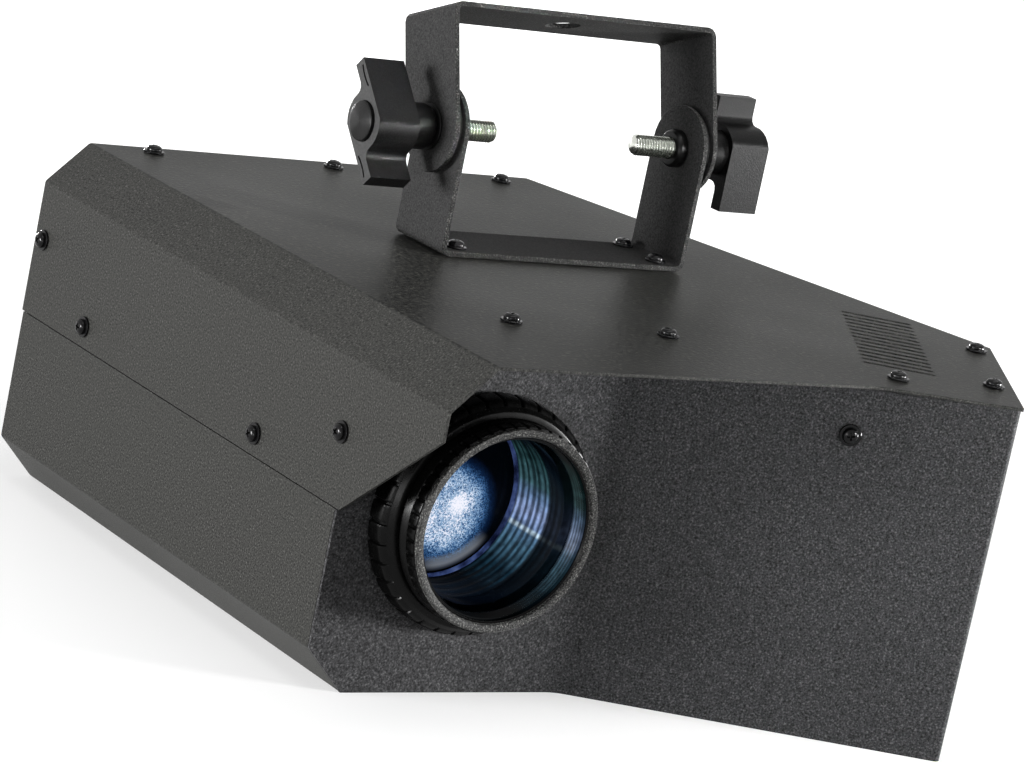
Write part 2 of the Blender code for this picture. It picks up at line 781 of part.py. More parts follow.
def rear_cutouts():
    """Openings of the back wall: fan grille, sockets, display, buttons and safety eye."""
    loops = []
    pitch = 2 * (FAN_BORE - 0.002) / GRILLE_SLOTS
    for index in range(GRILLE_SLOTS):
        x = (index - (GRILLE_SLOTS - 1) / 2) * pitch
        half = math.sqrt((FAN_BORE - 0.001) ** 2 - x ** 2)
        loops.append(slot_points(Vector((LENS_X + x, LENS_Z)), Vector((0, 1)), 2 * half, GRILLE_SLOT))
    opening = inlet_half() + Vector((BORE_GAP, BORE_GAP))
    loops.append(rectangle(INLET_PLACE - opening, INLET_PLACE + opening))
    for place in (INPUT_PLACE, OUTPUT_PLACE):
        loops.append(circle_points(place, SOCKET_RADIUS + BORE_GAP, 20))
    opening = display_half() + Vector((BORE_GAP, BORE_GAP))
    loops.append(rectangle(DISPLAY_PLACE - opening, DISPLAY_PLACE + opening))
    for place in button_places():
        loops.append(circle_points(place, BUTTON_RADIUS + BORE_GAP, 12))
    loops.append(circle_points(EYE_PLACE, EYE_SHANK + BORE_GAP, 12))
    low = -BACK_WALL_Y - 0.01
    pieces = [prism("rear_opening", [loop], low, low + 0.02, plane=FRONT) for loop in loops]
    return merge_cutters("rear_openings", pieces)


def add_rear_panel():
    line = rounded([END_CORNER, BACK_CORNER, Vector((LEFT_WALL_X + LINER, BACK_WALL_Y))], BEND_RADIUS)
    panel = folded_sheet("rear_panel", line, LINER, WALL_TOP, SHEET, PLAN, POWDER_COAT)
    back_wall = (BACK_CORNER, Vector((-1, 0)), Vector((0, 1)))
    back_length = BACK_CORNER_X - LEFT_WALL_X
    tab_x = LEFT_WALL_X + LINER + GAP / 2
    tab_z = side_screw_points()[0].z
    join(panel,
         flange_strip(back_wall, 0.006, back_length - CHAMFER - 0.006),
         box("tab", (tab_x, BACK_WALL_Y - FLANGE, tab_z - 0.010),
             (tab_x + SHEET, BACK_WALL_Y - SHEET / 2, tab_z + 0.010)))
    holes = [hole_cutter(point, (0, 0, 1), reach=0.006) for point in top_screw_points()[:3]]
    holes.append(hole_cutter(side_screw_points()[0], (1, 0, 0), reach=0.006))
    return cut(panel, upper_corner_cutter(LINER), lower_corner_cutter(LINER), rear_cutouts(),
               merge_cutters("rear_holes", holes))


def add_screws():
    """Every fastener that shows, each with its washer."""
    down = (0, 0, 1)
    for index, point in enumerate(top_screw_points(), 1):
        add_screw(f"cover_screw_{index}", point, down)
    for index, point in enumerate(side_screw_points(), 1):
        add_screw(f"side_screw_{index}", point, (-1, 0, 0))
    add_screw("wing_screw", *wing_screw_place())
    for index, point in enumerate(bracket_screw_points(), 1):
        add_screw(f"bracket_screw_{index}", point, down)


# Bracket, yoke and clamp knobs

def axis_empty(name, matrix):
    made = bpy.data.objects.new(name, None)
    made.empty_display_size = 0.02
    PARTS.objects.link(made)
    made.matrix_world = matrix
    return made


def hang(target, parent):
    """Put a piece drawn round the world origin under an empty, keeping its own small offset."""
    target.parent = parent
    return target


def strap(name, half, level, material):
    """A U of flat bar round the tilt axis: arms at plus and minus half, outer face of its bar at a level."""
    up = math.copysign(1, level)
    reach = -up * (ARM_RADIUS + 0.002)
    line = rounded([(half * up, reach), (half * up, level), (-half * up, level), (-half * up, reach)], STRAP_BEND)
    made = folded_sheet(name, line, -STRAP_WIDTH, STRAP_WIDTH, STRAP_THICKNESS, FRONT, material)
    turns = [math.pi * step / 16 for step in range(17)]
    arc = [Vector((math.cos(turn), -up * math.sin(turn))) * ARM_RADIUS for turn in turns]
    past = level + up * 0.01
    outline = [Vector((ARM_RADIUS, past)), *arc, Vector((-ARM_RADIUS, past))]
    keep_inside(made, prism("arm_outline", [outline], -half - 0.01, half + 0.01, plane=SIDE))
    return cut(made, rod("pivot_hole", STUD_RADIUS + BORE_GAP, -half - 0.01, half + 0.01, place=SIDE, steps=20))


def add_lower_bracket():
    bracket = strap("lower_bracket", BRACKET_HALF, GAP - PIVOT_RISE, BLACK_STEEL)
    bracket.matrix_world = Matrix.Translation((0, 0, PIVOT_Z)) @ bracket.matrix_world
    return cut(bracket, merge_cutters("bracket_holes", [hole_cutter(p, (0, 0, 1)) for p in bracket_screw_points()]))


def add_upper_yoke():
    yoke = strap("upper_yoke", YOKE_HALF, YOKE_RISE, BLACK_STEEL)
    cut(yoke, rod("hanging_hole", HANGING_HOLE / 2, YOKE_RISE - 0.01, YOKE_RISE + 0.01))
    place = Matrix.Translation((0, 0, PIVOT_Z)) @ Matrix.Rotation(-YOKE_LEAN, 4, 'X')
    return hang(yoke, axis_empty("yoke_pivot", place))


def knob_outline():
    """The two-wing section of the knob: each wing is a bar set off to one side of the round boss."""
    blend = 0.003
    middle_y = -KNOB_WING_INNER + blend
    middle_x = math.sqrt((KNOB_BOSS_RADIUS + blend) ** 2 - middle_y ** 2)
    middle = Vector((middle_x, middle_y))
    points = [Vector((KNOB_WING_REACH, -KNOB_WING_OUTER)), Vector((KNOB_WING_REACH, -KNOB_WING_INNER))]
    first = math.radians(270)
    last = math.atan2(-middle_y, -middle_x) % (2 * math.pi)
    for step in range(4):
        turn = first + (last - first) * step / 3
        points.append(middle + blend * Vector((math.cos(turn), math.sin(turn))))
    first = math.atan2(middle_y, middle_x)
    last = math.asin(KNOB_WING_OUTER / KNOB_BOSS_RADIUS)
    for step in range(1, 6):
        turn = first + (last - first) * step / 5
        points.append(KNOB_BOSS_RADIUS * Vector((math.cos(turn), math.sin(turn))))
    return points + [-point for point in points]


def wing_slot():
    """A thin bowed slot along the middle of a wing's outer face."""
    bow = 0.018
    half_width = KNOB_SLOT / 2
    middle = Vector((KNOB_WING_REACH - 0.0066, -(KNOB_WING_INNER + KNOB_WING_OUTER) / 2 - 0.0006 - bow))
    turns = [math.radians(90 + 4.8 * step) for step in range(-3, 4)]
    outer = [middle + (bow + half_width) * Vector((math.cos(turn), math.sin(turn))) for turn in turns]
    inner = [middle + (bow - half_width) * Vector((math.cos(turn), math.sin(turn))) for turn in reversed(turns)]
    return outer + inner


def add_clamp(side, facing, turn):
    """Nut, washers and knob on one end of the tilt axis, drawn along the own Z axis pointing outwards."""
    axis = axis_empty(f"clamp_axis_{side}", Matrix.Translation((0, 0, PIVOT_Z)) @ facing @ SIDE)
    hole = STUD_RADIUS + BORE_GAP
    seat = BRACKET_HALF - STRAP_THICKNESS - GAP
    nut = turned(f"pivot_nut_{side}", [
        (hole, seat), (NUT_RADIUS, seat), (NUT_RADIUS, seat - NUT_LENGTH * 0.6),
        (NUT_RADIUS - 0.0010, seat - NUT_LENGTH), (hole, seat - NUT_LENGTH)], 16, BLACK_STEEL)
    low = BRACKET_HALF + GAP
    high = YOKE_HALF - STRAP_THICKNESS - GAP
    spacer = turned(f"friction_washer_{side}", ring_section(hole, FRICTION_RADIUS, low, high), 20, RUBBER)
    low = YOKE_HALF + GAP
    washer_top = low + KNOB_WASHER
    washer = turned(f"knob_washer_{side}", ring_section(hole, KNOB_HUB_RADIUS, low, washer_top), 16, BLACK_STEEL)
    hub_low = washer_top + GAP
    wings_low = KNOB_OUTER_X - KNOB_WING_LENGTH
    grip = prism(f"clamp_knob_{side}", [knob_outline()], wings_low, KNOB_OUTER_X, MATTE_PLASTIC)
    hub = turned("hub", [
        (0, wings_low + 0.003), (KNOB_HUB_RADIUS, wings_low + 0.003), (KNOB_HUB_RADIUS, hub_low + 0.0024),
        (KNOB_HUB_RADIUS - 0.0007, hub_low + 0.0008), (KNOB_HUB_RADIUS - 0.0024, hub_low), (0, hub_low)], 24)
    join(grip, hub)
    floor = KNOB_OUTER_X - KNOB_CAP_SEAT
    bore_end = floor - 0.005
    slots = [prism("wing_slot", [[point * tip for point in wing_slot()]], KNOB_OUTER_X - KNOB_SLOT, KNOB_OUTER_X + 0.002)
             for tip in (1, -1)]
    cut(grip,
        rod("cap_seat", KNOB_CAP_RADIUS + BORE_GAP, floor, KNOB_OUTER_X + 0.01, steps=24),
        rod("stud_bore", hole, 0, bore_end, steps=16),
        merge_cutters("wing_slots", slots))
    cap = turned(f"knob_cap_{side}", [
        (0, KNOB_OUTER_X + KNOB_CAP_CROWN), (KNOB_CAP_RADIUS - 0.0012, KNOB_OUTER_X + KNOB_CAP_CROWN),
        (KNOB_CAP_RADIUS, KNOB_OUTER_X + KNOB_CAP_CROWN - 0.0007), (KNOB_CAP_RADIUS, floor + GAP),
        (0, floor + GAP)], 24, GLOSS_PLASTIC)
    stud = turned(f"knob_stud_{side}", [
        (0, bore_end - GAP), (STUD_RADIUS, bore_end - GAP), (STUD_RADIUS, STUD_TIP_X + 0.0009),
        (STUD_RADIUS - 0.0009, STUD_TIP_X), (0, STUD_TIP_X)], 16, ZINC)
    spin = Matrix.Rotation(turn, 4, 'Z')
    for piece in (nut, spacer, washer, grip, cap, stud):
        hang(piece, axis)
        piece.matrix_basis = spin @ piece.matrix_basis
    return axis


def ring_section(inner, outer, low, high):
    return [(inner, high), (outer, high), (outer, low), (inner, low)]


# Lens and focus

def add_lens_mount():
    inner = BARREL_RADIUS + BORE_GAP
    outer = MOUNT_RADIUS
    seat = -LINER
    mount = turned("lens_mount", [
        (inner, MOUNT_FRONT), (outer, MOUNT_FRONT), (outer, seat), (MOUNT_FLANGE, seat),
        (MOUNT_FLANGE, seat - MOUNT_PLATE), (inner, seat - MOUNT_PLATE)], 36, BLACK_STEEL, LENS_AXIS)
    wall = LEFT_WALL_X + 2 * LINER
    beside_wall = box("beside_wall", (wall - OUTSIDE, LENS_FACE_Y, 0), (wall + GAP, LENS_FACE_Y + OUTSIDE, BODY_HEIGHT))
    return cut(mount, beside_wall)


def add_focus_ring():
    """Each rib is one flat between two grooves, and the grooves run over the rounded shoulder."""
    slide = BARREL_RADIUS + BORE_GAP
    bore = MOUNT_RADIUS + BORE_GAP
    shelf = MOUNT_FRONT + GAP
    outer = RING_RADIUS
    front = outer - 0.0007
    place = LENS_AXIS @ Matrix.Rotation(math.radians(RING_FIRST_GROOVE), 4, 'Z')
    ring = turned("focus_ring", [
        (bore, RING_BACK), (outer, RING_BACK), (front, RING_GRIP_END), (front - 0.0008, RING_GRIP_END + 0.0007),
        (front - 0.0024, RING_FRONT), (RING_STEP_RADIUS, RING_FRONT), (slide, RING_LIP_FRONT), (slide, shelf),
        (bore, shelf)], RING_RIBS, GLOSS_PLASTIC, place)
    grooves = []
    half = RING_GROOVE / 2
    for index in range(RING_RIBS):
        turn = Matrix.Rotation(2 * math.pi * index / RING_RIBS, 4, 'Z')
        groove = box("groove", (outer - RING_GROOVE_DEPTH, -half, RING_BACK - 0.001),
                     (outer + 0.004, half, RING_FRONT + 0.003))
        groove.data.transform(place @ turn)
        grooves.append(groove)
    return cut(ring, merge_cutters("grooves", grooves))


def add_lens_barrel():
    neck = BARREL_NECK
    return turned("lens_barrel", [
        (FRONT_LENS_RADIUS + BORE_GAP, NECK_FRONT), (neck, NECK_FRONT), (neck, BARREL_FRONT),
        (BARREL_RADIUS, BARREL_FRONT), (BARREL_RADIUS, BARREL_BACK), (REAR_LENS_RADIUS + BORE_GAP, BARREL_BACK),
        (REAR_LENS_RADIUS + BORE_GAP, BARREL_BACK + REAR_SEAT), (BARREL_BORE, BARREL_BACK + REAR_SEAT),
        (BARREL_BORE, LENS_SEAT), (FRONT_LENS_RADIUS + BORE_GAP, LENS_SEAT)], 36, MATTE_PLASTIC, LENS_AXIS)


def add_front_ring():
    inner = BARREL_NECK + BORE_GAP
    back = BARREL_FRONT + GAP
    shelf = NECK_FRONT + GAP
    ring = turned("front_ring", [
        (inner, back), (KNURL_RADIUS, back), (KNURL_RADIUS, KNURL_END - 0.0003), (RIM_RADIUS, KNURL_END),
        (RIM_RADIUS, RIM_FRONT), (RIM_BORE, RIM_FRONT), (RIM_BORE - 0.0009, shelf + 0.0006),
        (RIM_BORE - 0.0009, shelf), (inner, shelf)], 36, COARSE_COAT, LENS_AXIS)
    return ring


def domed(radius, low, edge, apex, steps):
    """A plano-convex lens: flat back at low, rim up to edge, dome up to apex."""
    rise = apex - edge
    curve = (radius ** 2 + rise ** 2) / (2 * rise)
    profile = []
    for step in range(steps + 1):
        reach = radius * step / steps
        profile.append((reach, apex - curve + math.sqrt(curve ** 2 - reach ** 2)))
    return profile + [(radius, low), (0, low)]


def add_lenses():
    turned("front_lens", domed(FRONT_LENS_RADIUS, LENS_SEAT + GAP, LENS_SEAT + 0.0030, LENS_SEAT + 0.0055, 4),
           28, GLASS, LENS_AXIS)
    low = BARREL_BACK + GAP
    turned("rear_lens", domed(REAR_LENS_RADIUS, low, low + 0.0030, low + REAR_SEAT - 0.0002, 3),
           24, GLASS, LENS_AXIS)


# Light engine

def add_engine_plate():
    front_y = LENS_FACE_Y + PLATE_DEPTH
    line = rounded([(front_y, PLATE_TOP), (front_y, LINER), (front_y + 0.018, LINER)], 0.003)
    plate = folded_sheet("engine_plate", line, PLATE_LEFT, PLATE_RIGHT, PLATE_THICKNESS, SIDE, ALUMINIUM)
    window = rod("window", COLLAR_RADIUS + BORE_GAP, -PLATE_DEPTH - 0.01, -PLATE_DEPTH + 0.01, place=LENS_AXIS, steps=32)
    return cut(plate, window)


def add_heat_sink():
    """A base with straight fins, drawn in plan and standing upright behind the plate."""
    base = LENS_FACE_Y + PLATE_DEPTH + PLATE_THICKNESS + GAP
    half = HEAT_SINK_SIZE / 2
    tip = base + HEAT_SINK_BASE + HEAT_SINK_FIN
    root = base + HEAT_SINK_BASE
    pitch = (HEAT_SINK_SIZE - FIN_THICKNESS) / (HEAT_SINK_FINS - 1)
    points = [Vector((LENS_X - half, base)), Vector((LENS_X + half, base))]
    for index in reversed(range(HEAT_SINK_FINS)):
        left = LENS_X - half + index * pitch
        right = left + FIN_THICKNESS
        points.append(Vector((right, root)))
        points.append(Vector((right, tip)))
        points.append(Vector((left, tip)))
        points.append(Vector((left, root)))
    cleaned = [points[0], points[1]] + points[3:-1]
    return prism("heat_sink", [cleaned], LENS_Z - half, LENS_Z + half, ALUMINIUM)


def add_led_module():
    back = -PLATE_DEPTH - PLATE_THICKNESS
    front = -LED_FRONT
    ledge = front - 0.008
    turned("led_module", [
        (0, back + 0.007), (0.012, back + 0.007), (0.012, back + 0.005), (CONDENSER_RADIUS - 0.001, back + 0.005),
        (CONDENSER_RADIUS - 0.001, ledge), (CONDENSER_RADIUS + BORE_GAP, ledge),
        (CONDENSER_RADIUS + BORE_GAP, front), (COLLAR_RADIUS, front), (COLLAR_RADIUS, back), (0, back)],
        20, BOARD_WHITE, LENS_AXIS)
    turned("condenser_lens", domed(CONDENSER_RADIUS, ledge + GAP, ledge + 0.003, front - 0.001, 3),
           20, GLASS, LENS_AXIS)


def wheel_axis():
    return Matrix.Translation((WHEEL_OFFSET_X, 0, 0)) @ LENS_AXIS


def add_gobo_wheel():
    """The turning pattern plate: round openings on a pitch circle that crosses the light beam."""
    loops = [circle_points((0, 0), WHEEL_RADIUS, 32), circle_points((0, 0), SHAFT_RADIUS + BORE_GAP, 10)]
    for index in range(WHEEL_HOLES):
        turn = math.pi + 2 * math.pi * index / WHEEL_HOLES
        centre = WHEEL_OFFSET_X * Vector((math.cos(turn), math.sin(turn)))
        loops.append(flower_points(centre, turn))
    front = -WHEEL_DEPTH
    wheel = prism("gobo_wheel", loops, front - WHEEL_THICKNESS, front, MIRROR_PLATE, wheel_axis())
    return settle(wheel)


def flower_points(centre, turn):
    """A five-petal opening: a circle whose radius swells five times on its way round."""
    points = []
    count = 15
    for step in range(count):
        angle = 2 * math.pi * step / count
        radius = WHEEL_HOLE_RADIUS * (0.78 + 0.22 * math.cos(5 * angle))
        points.append(centre + radius * Vector((math.cos(angle + turn), math.sin(angle + turn))))
    return points


def add_gobo_motor():
    back = -PLATE_DEPTH + GAP
    front = back + MOTOR_LENGTH
    return turned("gobo_motor", [
        (0, -WHEEL_DEPTH + 0.003), (SHAFT_RADIUS, -WHEEL_DEPTH + 0.003), (SHAFT_RADIUS, front + 0.0015),
        (0.0055, front + 0.0015), (0.0055, front), (MOTOR_RADIUS, front), (MOTOR_RADIUS, back), (0, back)],
        20, ZINC, wheel_axis())


def add_power_supply():
    """Board on four posts with its transformer, bulk capacitors and a finned rail."""
    low = Vector((0.022, -0.092, LINER))
    board = low.z + 0.006
    size = Vector((0.082, 0.078, 0.0016))
    supply = box("power_supply", (low.x, low.y, board), (low.x + size.x, low.y + size.y, board + size.z), CIRCUIT)
    top = board + size.z - 0.0002
    pieces = []
    for x in (low.x + 0.005, low.x + size.x - 0.005):
        for y in (low.y + 0.005, low.y + size.y - 0.005):
            pieces.append(rod("post", 0.003, low.z, board + 0.0002, place=Matrix.Translation((x, y, 0)), steps=8))
    pieces.append(box("transformer", (low.x + 0.030, low.y + 0.026, top), (low.x + 0.058, low.y + 0.052, top + 0.027)))
    for y in (low.y + 0.016, low.y + 0.036):
        place = Matrix.Translation((low.x + 0.016, y, 0))
        pieces.append(rod("capacitor", 0.008, top, top + 0.030, place=place, steps=16))
    pieces.append(box("rail", (low.x + 0.068, low.y + 0.012, top), (low.x + 0.0715, low.y + 0.066, top + 0.028)))
    pieces.append(box("choke", (low.x + 0.012, low.y + 0.054, top), (low.x + 0.032, low.y + 0.070, top + 0.018)))
    for piece in pieces:
        join(supply, piece)
    return supply


def add_control_board():
    wall = BACK_WALL_Y - SHEET - GAP
    board = wall - BOARD_GAP
    half = 0.032
    low = BUTTON_ROW_Z - 0.014
    made = box("control_board", (-half, board - 0.0016, low), (half, board, low + 0.052), CIRCUIT)
    for x in (-half + 0.003, half - 0.003):
        for z in (low + 0.004, low + 0.033):
            place = Matrix.Translation((x, 0, z)) @ FRONT
            join(made, rod("post", 0.0025, -wall, -board + 0.0002, place=place, steps=8))
    join(made, box("chip", (-0.008, board - 0.0040, low + 0.012), (0.008, board - 0.0015, low + 0.028)))
    join(made, box("header", (0.014, board - 0.0100, low + 0.034), (0.028, board - 0.0015, low + 0.042)))
    return made


def fan_axis():
    return Matrix.Translation((LENS_X, BACK_WALL_Y - SHEET - GAP, LENS_Z)) @ FRONT


def add_fan():
    """Square frame with a round duct, a motor seat on four struts, and a rotor of cambered blades."""
    half = FAN_SIZE / 2
    square = rounded(rectangle((-half, -half), (half, half)), 0.004, steps=2, closed=True)
    loops = [square, circle_points((0, 0), FAN_BORE, 32)]
    for x in (-1, 1):
        for y in (-1, 1):
            loops.append(circle_points((x * FAN_HOLES, y * FAN_HOLES), 0.0021, 8))
    frame = prism("fan_frame", loops, 0.0, FAN_DEPTH, MATTE_PLASTIC, fan_axis())
    seat = rod("seat", FAN_HUB, FAN_DEPTH - 0.003, FAN_DEPTH, place=fan_axis(), steps=16)
    join(frame, seat)
    for index in range(4):
        turn = Matrix.Rotation(math.pi / 4 + math.pi / 2 * index, 4, 'Z')
        arm = box("strut", (FAN_HUB - 0.002, -0.002, FAN_DEPTH - 0.0027), (FAN_BORE + 0.001, 0.002, FAN_DEPTH - 0.0005))
        arm.data.transform(fan_axis() @ turn)
        join(frame, arm)
    settle(frame)
    low = 0.0025
    high = FAN_DEPTH - 0.003 - BORE_GAP * 2
    rotor = turned("fan_rotor", [
        (0, low), (FAN_HUB - 0.001, low), (FAN_HUB, low + 0.001), (FAN_HUB, high), (0, high)],
        20, MATTE_PLASTIC, fan_axis())
    middle = (low + high) / 2
    for index in range(FAN_BLADES):
        turn = Matrix.Rotation(2 * math.pi * index / FAN_BLADES, 4, 'Z')
        stand = Matrix.Rotation(math.pi / 2, 4, 'Y')
        place = fan_axis() @ Matrix.Translation((0, 0, middle)) @ turn @ stand
        blade = folded_sheet("blade", camber_line(), FAN_HUB - 0.0015, FAN_BORE - 0.0018, 0.0014, place)
        join(rotor, blade)
    return rotor


def camber_line():
    """A shallow arc, pitched between the duct's axis and the blade's path."""
    radius = 0.019
    pitch = math.radians(48)
    points = []
    for step in range(5):
        turn = math.radians(-26 + 13 * step)
        point = Vector((radius * math.sin(turn), radius * math.cos(turn) - radius))
        points.append(Matrix.Rotation(pitch, 2) @ point)
    return points


# Rear fittings, drawn along the own Z axis pointing out of the back wall

def rear_place(point):
    turn = Matrix.Rotation(math.pi, 4, 'Z') @ FRONT
    return Matrix.Translation((point.x, BACK_WALL_Y, point.y)) @ turn


def slab(name, half, low, high, place, material=None, corner=0.0015):
    outline = rounded(rectangle((-half.x, -half.y), (half.x, half.y)), corner, steps=2, closed=True)
    return prism(name, [outline], low, high, material, place)


def add_mains_inlet():
    """Flange with a shrouded three-pin inlet beside its fuse drawer."""
    place = rear_place(INLET_PLACE)
    face = GAP + 0.0025
    inlet = slab("mains_inlet", Vector((0.0255, 0.0155)), GAP, face, place, GLOSS_PLASTIC, 0.002)
    join(inlet, slab("body", inlet_half(), -0.020, GAP + 0.001, place))
    shroud = Matrix.Translation((0.0085, 0, 0))
    half = Vector((0.0122, 0.0083))
    bevel = 0.0045
    mouth = [Vector((-half.x, half.y)), Vector((-half.x, -half.y + bevel)), Vector((-half.x + bevel, -half.y)),
             Vector((half.x - bevel, -half.y)), Vector((half.x, -half.y + bevel)), Vector((half.x, half.y))]
    cut(inlet, prism("mouth", [mouth], face - PIN_RECESS, face + 0.01, plane=place @ shroud))
    for x, y in ((-0.007, -0.002), (0.0, 0.002), (0.007, -0.002)):
        pin = box("pin", (x - 0.001, y - 0.002, face - PIN_RECESS - 0.001), (x + 0.001, y + 0.002, face - PIN_STOP))
        pin.data.transform(place @ shroud)
        join(inlet, pin)
    drawer = slab("drawer", Vector((0.0075, 0.0100)), face - 0.0005, face + 0.0012,
                  place @ Matrix.Translation((-0.0135, 0, 0)))
    join(inlet, drawer)
    notch = box("notch", (-0.0175, 0.0080, face + 0.0003), (-0.0095, 0.0110, face + 0.003))
    notch.data.transform(place)
    return cut(inlet, notch)


def socket_body(name, point):
    place = rear_place(point)
    face = GAP + 0.0022
    body = slab(name, Vector((0.0130, 0.0155)), GAP, face, place, BLACK_STEEL, 0.0025)
    join(body, rod("shell", SOCKET_RADIUS, -0.020, face + 0.0008, place=place, steps=24))
    for x, y in ((-0.0098, 0.0122), (0.0098, -0.0122)):
        join(body, rod("fixing", 0.0021, face - 0.0005, face + 0.0010, place=place @ Matrix.Translation((x, y, 0)),
                       steps=8))
    return body, place, face + 0.0008


def add_dmx_input():
    """Three-pin socket with standing pins in an open shell."""
    body, place, face = socket_body("dmx_input", INPUT_PLACE)
    cut(body, rod("shell_bore", SHELL_BORE, face - PIN_RECESS, face + 0.01, place=place, steps=24))
    for turn in (90, 210, 330):
        x = PIN_CIRCLE * math.cos(math.radians(turn))
        y = PIN_CIRCLE * math.sin(math.radians(turn))
        pin = rod("pin", 0.0012, face - PIN_RECESS - 0.001, face - PIN_STOP,
                  place=place @ Matrix.Translation((x, y, 0)), steps=8)
        join(body, pin)
    return body


def add_dmx_output():
    """Three-hole socket: an insert inside a round groove, with a release tab above."""
    body, place, face = socket_body("dmx_output", OUTPUT_PLACE)
    groove = turned("groove", ring_section(SHELL_BORE - 0.0014, SHELL_BORE, face - 0.010, face + 0.01), 24, None, place)
    holes = [groove]
    for turn in (90, 210, 330):
        x = PIN_CIRCLE * math.cos(math.radians(turn))
        y = PIN_CIRCLE * math.sin(math.radians(turn))
        holes.append(rod("hole", 0.0014, face - 0.009, face + 0.01, place=place @ Matrix.Translation((x, y, 0)), steps=8))
    cut(body, merge_cutters("socket_holes", holes))
    tab = box("tab", (-0.0035, 0.0105, face - 0.0020), (0.0035, 0.0140, face + 0.0012))
    tab.data.transform(place)
    return join(body, tab)


def add_display():
    place = rear_place(DISPLAY_PLACE)
    inside = -SHEET - GAP
    window = slab("display_panel", display_half(), inside - 0.004, 0.0003, place, GLOSS_PLASTIC, 0.0008)
    return join(window, slab("back", display_half() + Vector((0.003, 0.003)), inside - 0.005, inside, place))


def add_buttons():
    inside = -SHEET - GAP
    for index, point in enumerate(button_places(), 1):
        turned(f"menu_button_{index}", [
            (0, 0.0026), (BUTTON_RADIUS - 0.0006, 0.0026), (BUTTON_RADIUS, 0.0020), (BUTTON_RADIUS, inside),
            (BUTTON_RADIUS + 0.0012, inside), (BUTTON_RADIUS + 0.0012, inside - 0.0012), (0.0018, inside - 0.0012),
            (0.0018, inside - BOARD_GAP + BUTTON_TRAVEL + GAP * 2), (0, inside - BOARD_GAP + BUTTON_TRAVEL + GAP * 2)],
            10, MATTE_PLASTIC, rear_place(point))


def add_safety_eye():
    """Welded ring on a collar, its shank nutted inside the back wall."""
    place = rear_place(EYE_PLACE)
    inside = -SHEET - GAP
    eye = turned("safety_eye", [
        (0, EYE_COLLAR), (EYE_COLLAR_RADIUS - 0.001, EYE_COLLAR), (EYE_COLLAR_RADIUS, EYE_COLLAR - 0.001),
        (EYE_COLLAR_RADIUS, GAP), (EYE_SHANK, GAP), (EYE_SHANK, inside), (0.0050, inside), (0.0050, inside - 0.0035),
        (EYE_SHANK, inside - 0.0035), (EYE_SHANK, inside - 0.0050), (0, inside - 0.0050)], 12, ZINC, place)
    section = circle_points((EYE_RADIUS, 0), EYE_ROD, 6)
    ring = turned("ring", [(point.x, point.y) for point in section], 16, None,
                  place @ Matrix.Translation((0, 0, EYE_COLLAR + EYE_RADIUS - 0.0004)) @ Matrix.Rotation(math.pi / 2, 4, 'Y'))
    return join(eye, ring)


def build():
    add_base_tray()
    add_front_panel()
    add_rear_panel()
    add_top_cover()
    add_screws()
    add_lower_bracket()
    add_upper_yoke()
    add_clamp("left", Matrix.Rotation(math.pi, 4, 'Z'), LEFT_KNOB_TURN)
    add_clamp("right", Matrix.Identity(4), RIGHT_KNOB_TURN)
    add_lens_mount()
    add_focus_ring()
    add_lens_barrel()
    add_front_ring()
    add_lenses()
    add_engine_plate()
    add_heat_sink()
    add_led_module()
    add_gobo_wheel()
    add_gobo_motor()
    add_power_supply()
    add_control_board()
    add_fan()
    add_mains_inlet()
    add_dmx_input()
    add_dmx_output()
    add_display()
    add_buttons()
    add_safety_eye()


build()
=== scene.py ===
"""Looks for the LED flower effect light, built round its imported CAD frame.

Metres, +Z up, the lens looks along -Y. The housing stands on the floor at z = 0.
"""

import json
import math

import bmesh
import bpy
from mathutils import Matrix, Vector


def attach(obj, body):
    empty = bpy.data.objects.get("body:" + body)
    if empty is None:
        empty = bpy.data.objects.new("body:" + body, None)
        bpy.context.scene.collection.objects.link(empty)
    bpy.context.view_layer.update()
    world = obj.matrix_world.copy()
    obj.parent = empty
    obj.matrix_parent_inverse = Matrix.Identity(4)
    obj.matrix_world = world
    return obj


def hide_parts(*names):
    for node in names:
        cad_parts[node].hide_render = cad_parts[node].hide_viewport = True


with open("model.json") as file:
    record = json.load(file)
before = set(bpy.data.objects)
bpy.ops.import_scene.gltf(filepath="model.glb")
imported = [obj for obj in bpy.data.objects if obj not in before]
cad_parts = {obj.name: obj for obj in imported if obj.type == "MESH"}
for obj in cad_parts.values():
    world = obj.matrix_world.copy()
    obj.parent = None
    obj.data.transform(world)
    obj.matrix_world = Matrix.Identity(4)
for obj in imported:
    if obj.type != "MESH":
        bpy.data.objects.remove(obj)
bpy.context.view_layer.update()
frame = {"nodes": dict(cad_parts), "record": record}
NODES = frame["nodes"]
BODY_OF = {
    node: body for body, nodes in frame["record"]["behaviour"]["bodies"].items() for node in nodes}

# Places and counts that the frame's pieces share
LENS_X = -0.084
LENS_FACE_Y = -0.1105
LENS_Z = 0.0665
PIVOT_Z = 0.1772
RIBS = 36
KNURLS = 48
YOKE_LEAN = math.radians(21.0)
HEAD_HEIGHT = 0.0021
WING_NORMAL = Vector((-0.0720, -0.1215, 0)).normalized()

# A profile is a list of (radius, height) in metres. On the lens its height starts at the lens face and
# runs towards the front.
LENS_AXIS = Matrix(((1, 0, 0, LENS_X), (0, 0, -1, LENS_FACE_Y), (0, 1, 0, LENS_Z), (0, 0, 0, 1)))
# On a clamp it starts at the middle of the housing and runs out along the tilt axis, right or left.
RIGHT_AXIS = Matrix(((0, 0, 1, 0), (1, 0, 0, 0), (0, 1, 0, PIVOT_Z), (0, 0, 0, 1)))
LEFT_AXIS = Matrix(((0, 0, -1, 0), (-1, 0, 0, 0), (0, 1, 0, PIVOT_Z), (0, 0, 0, 1)))
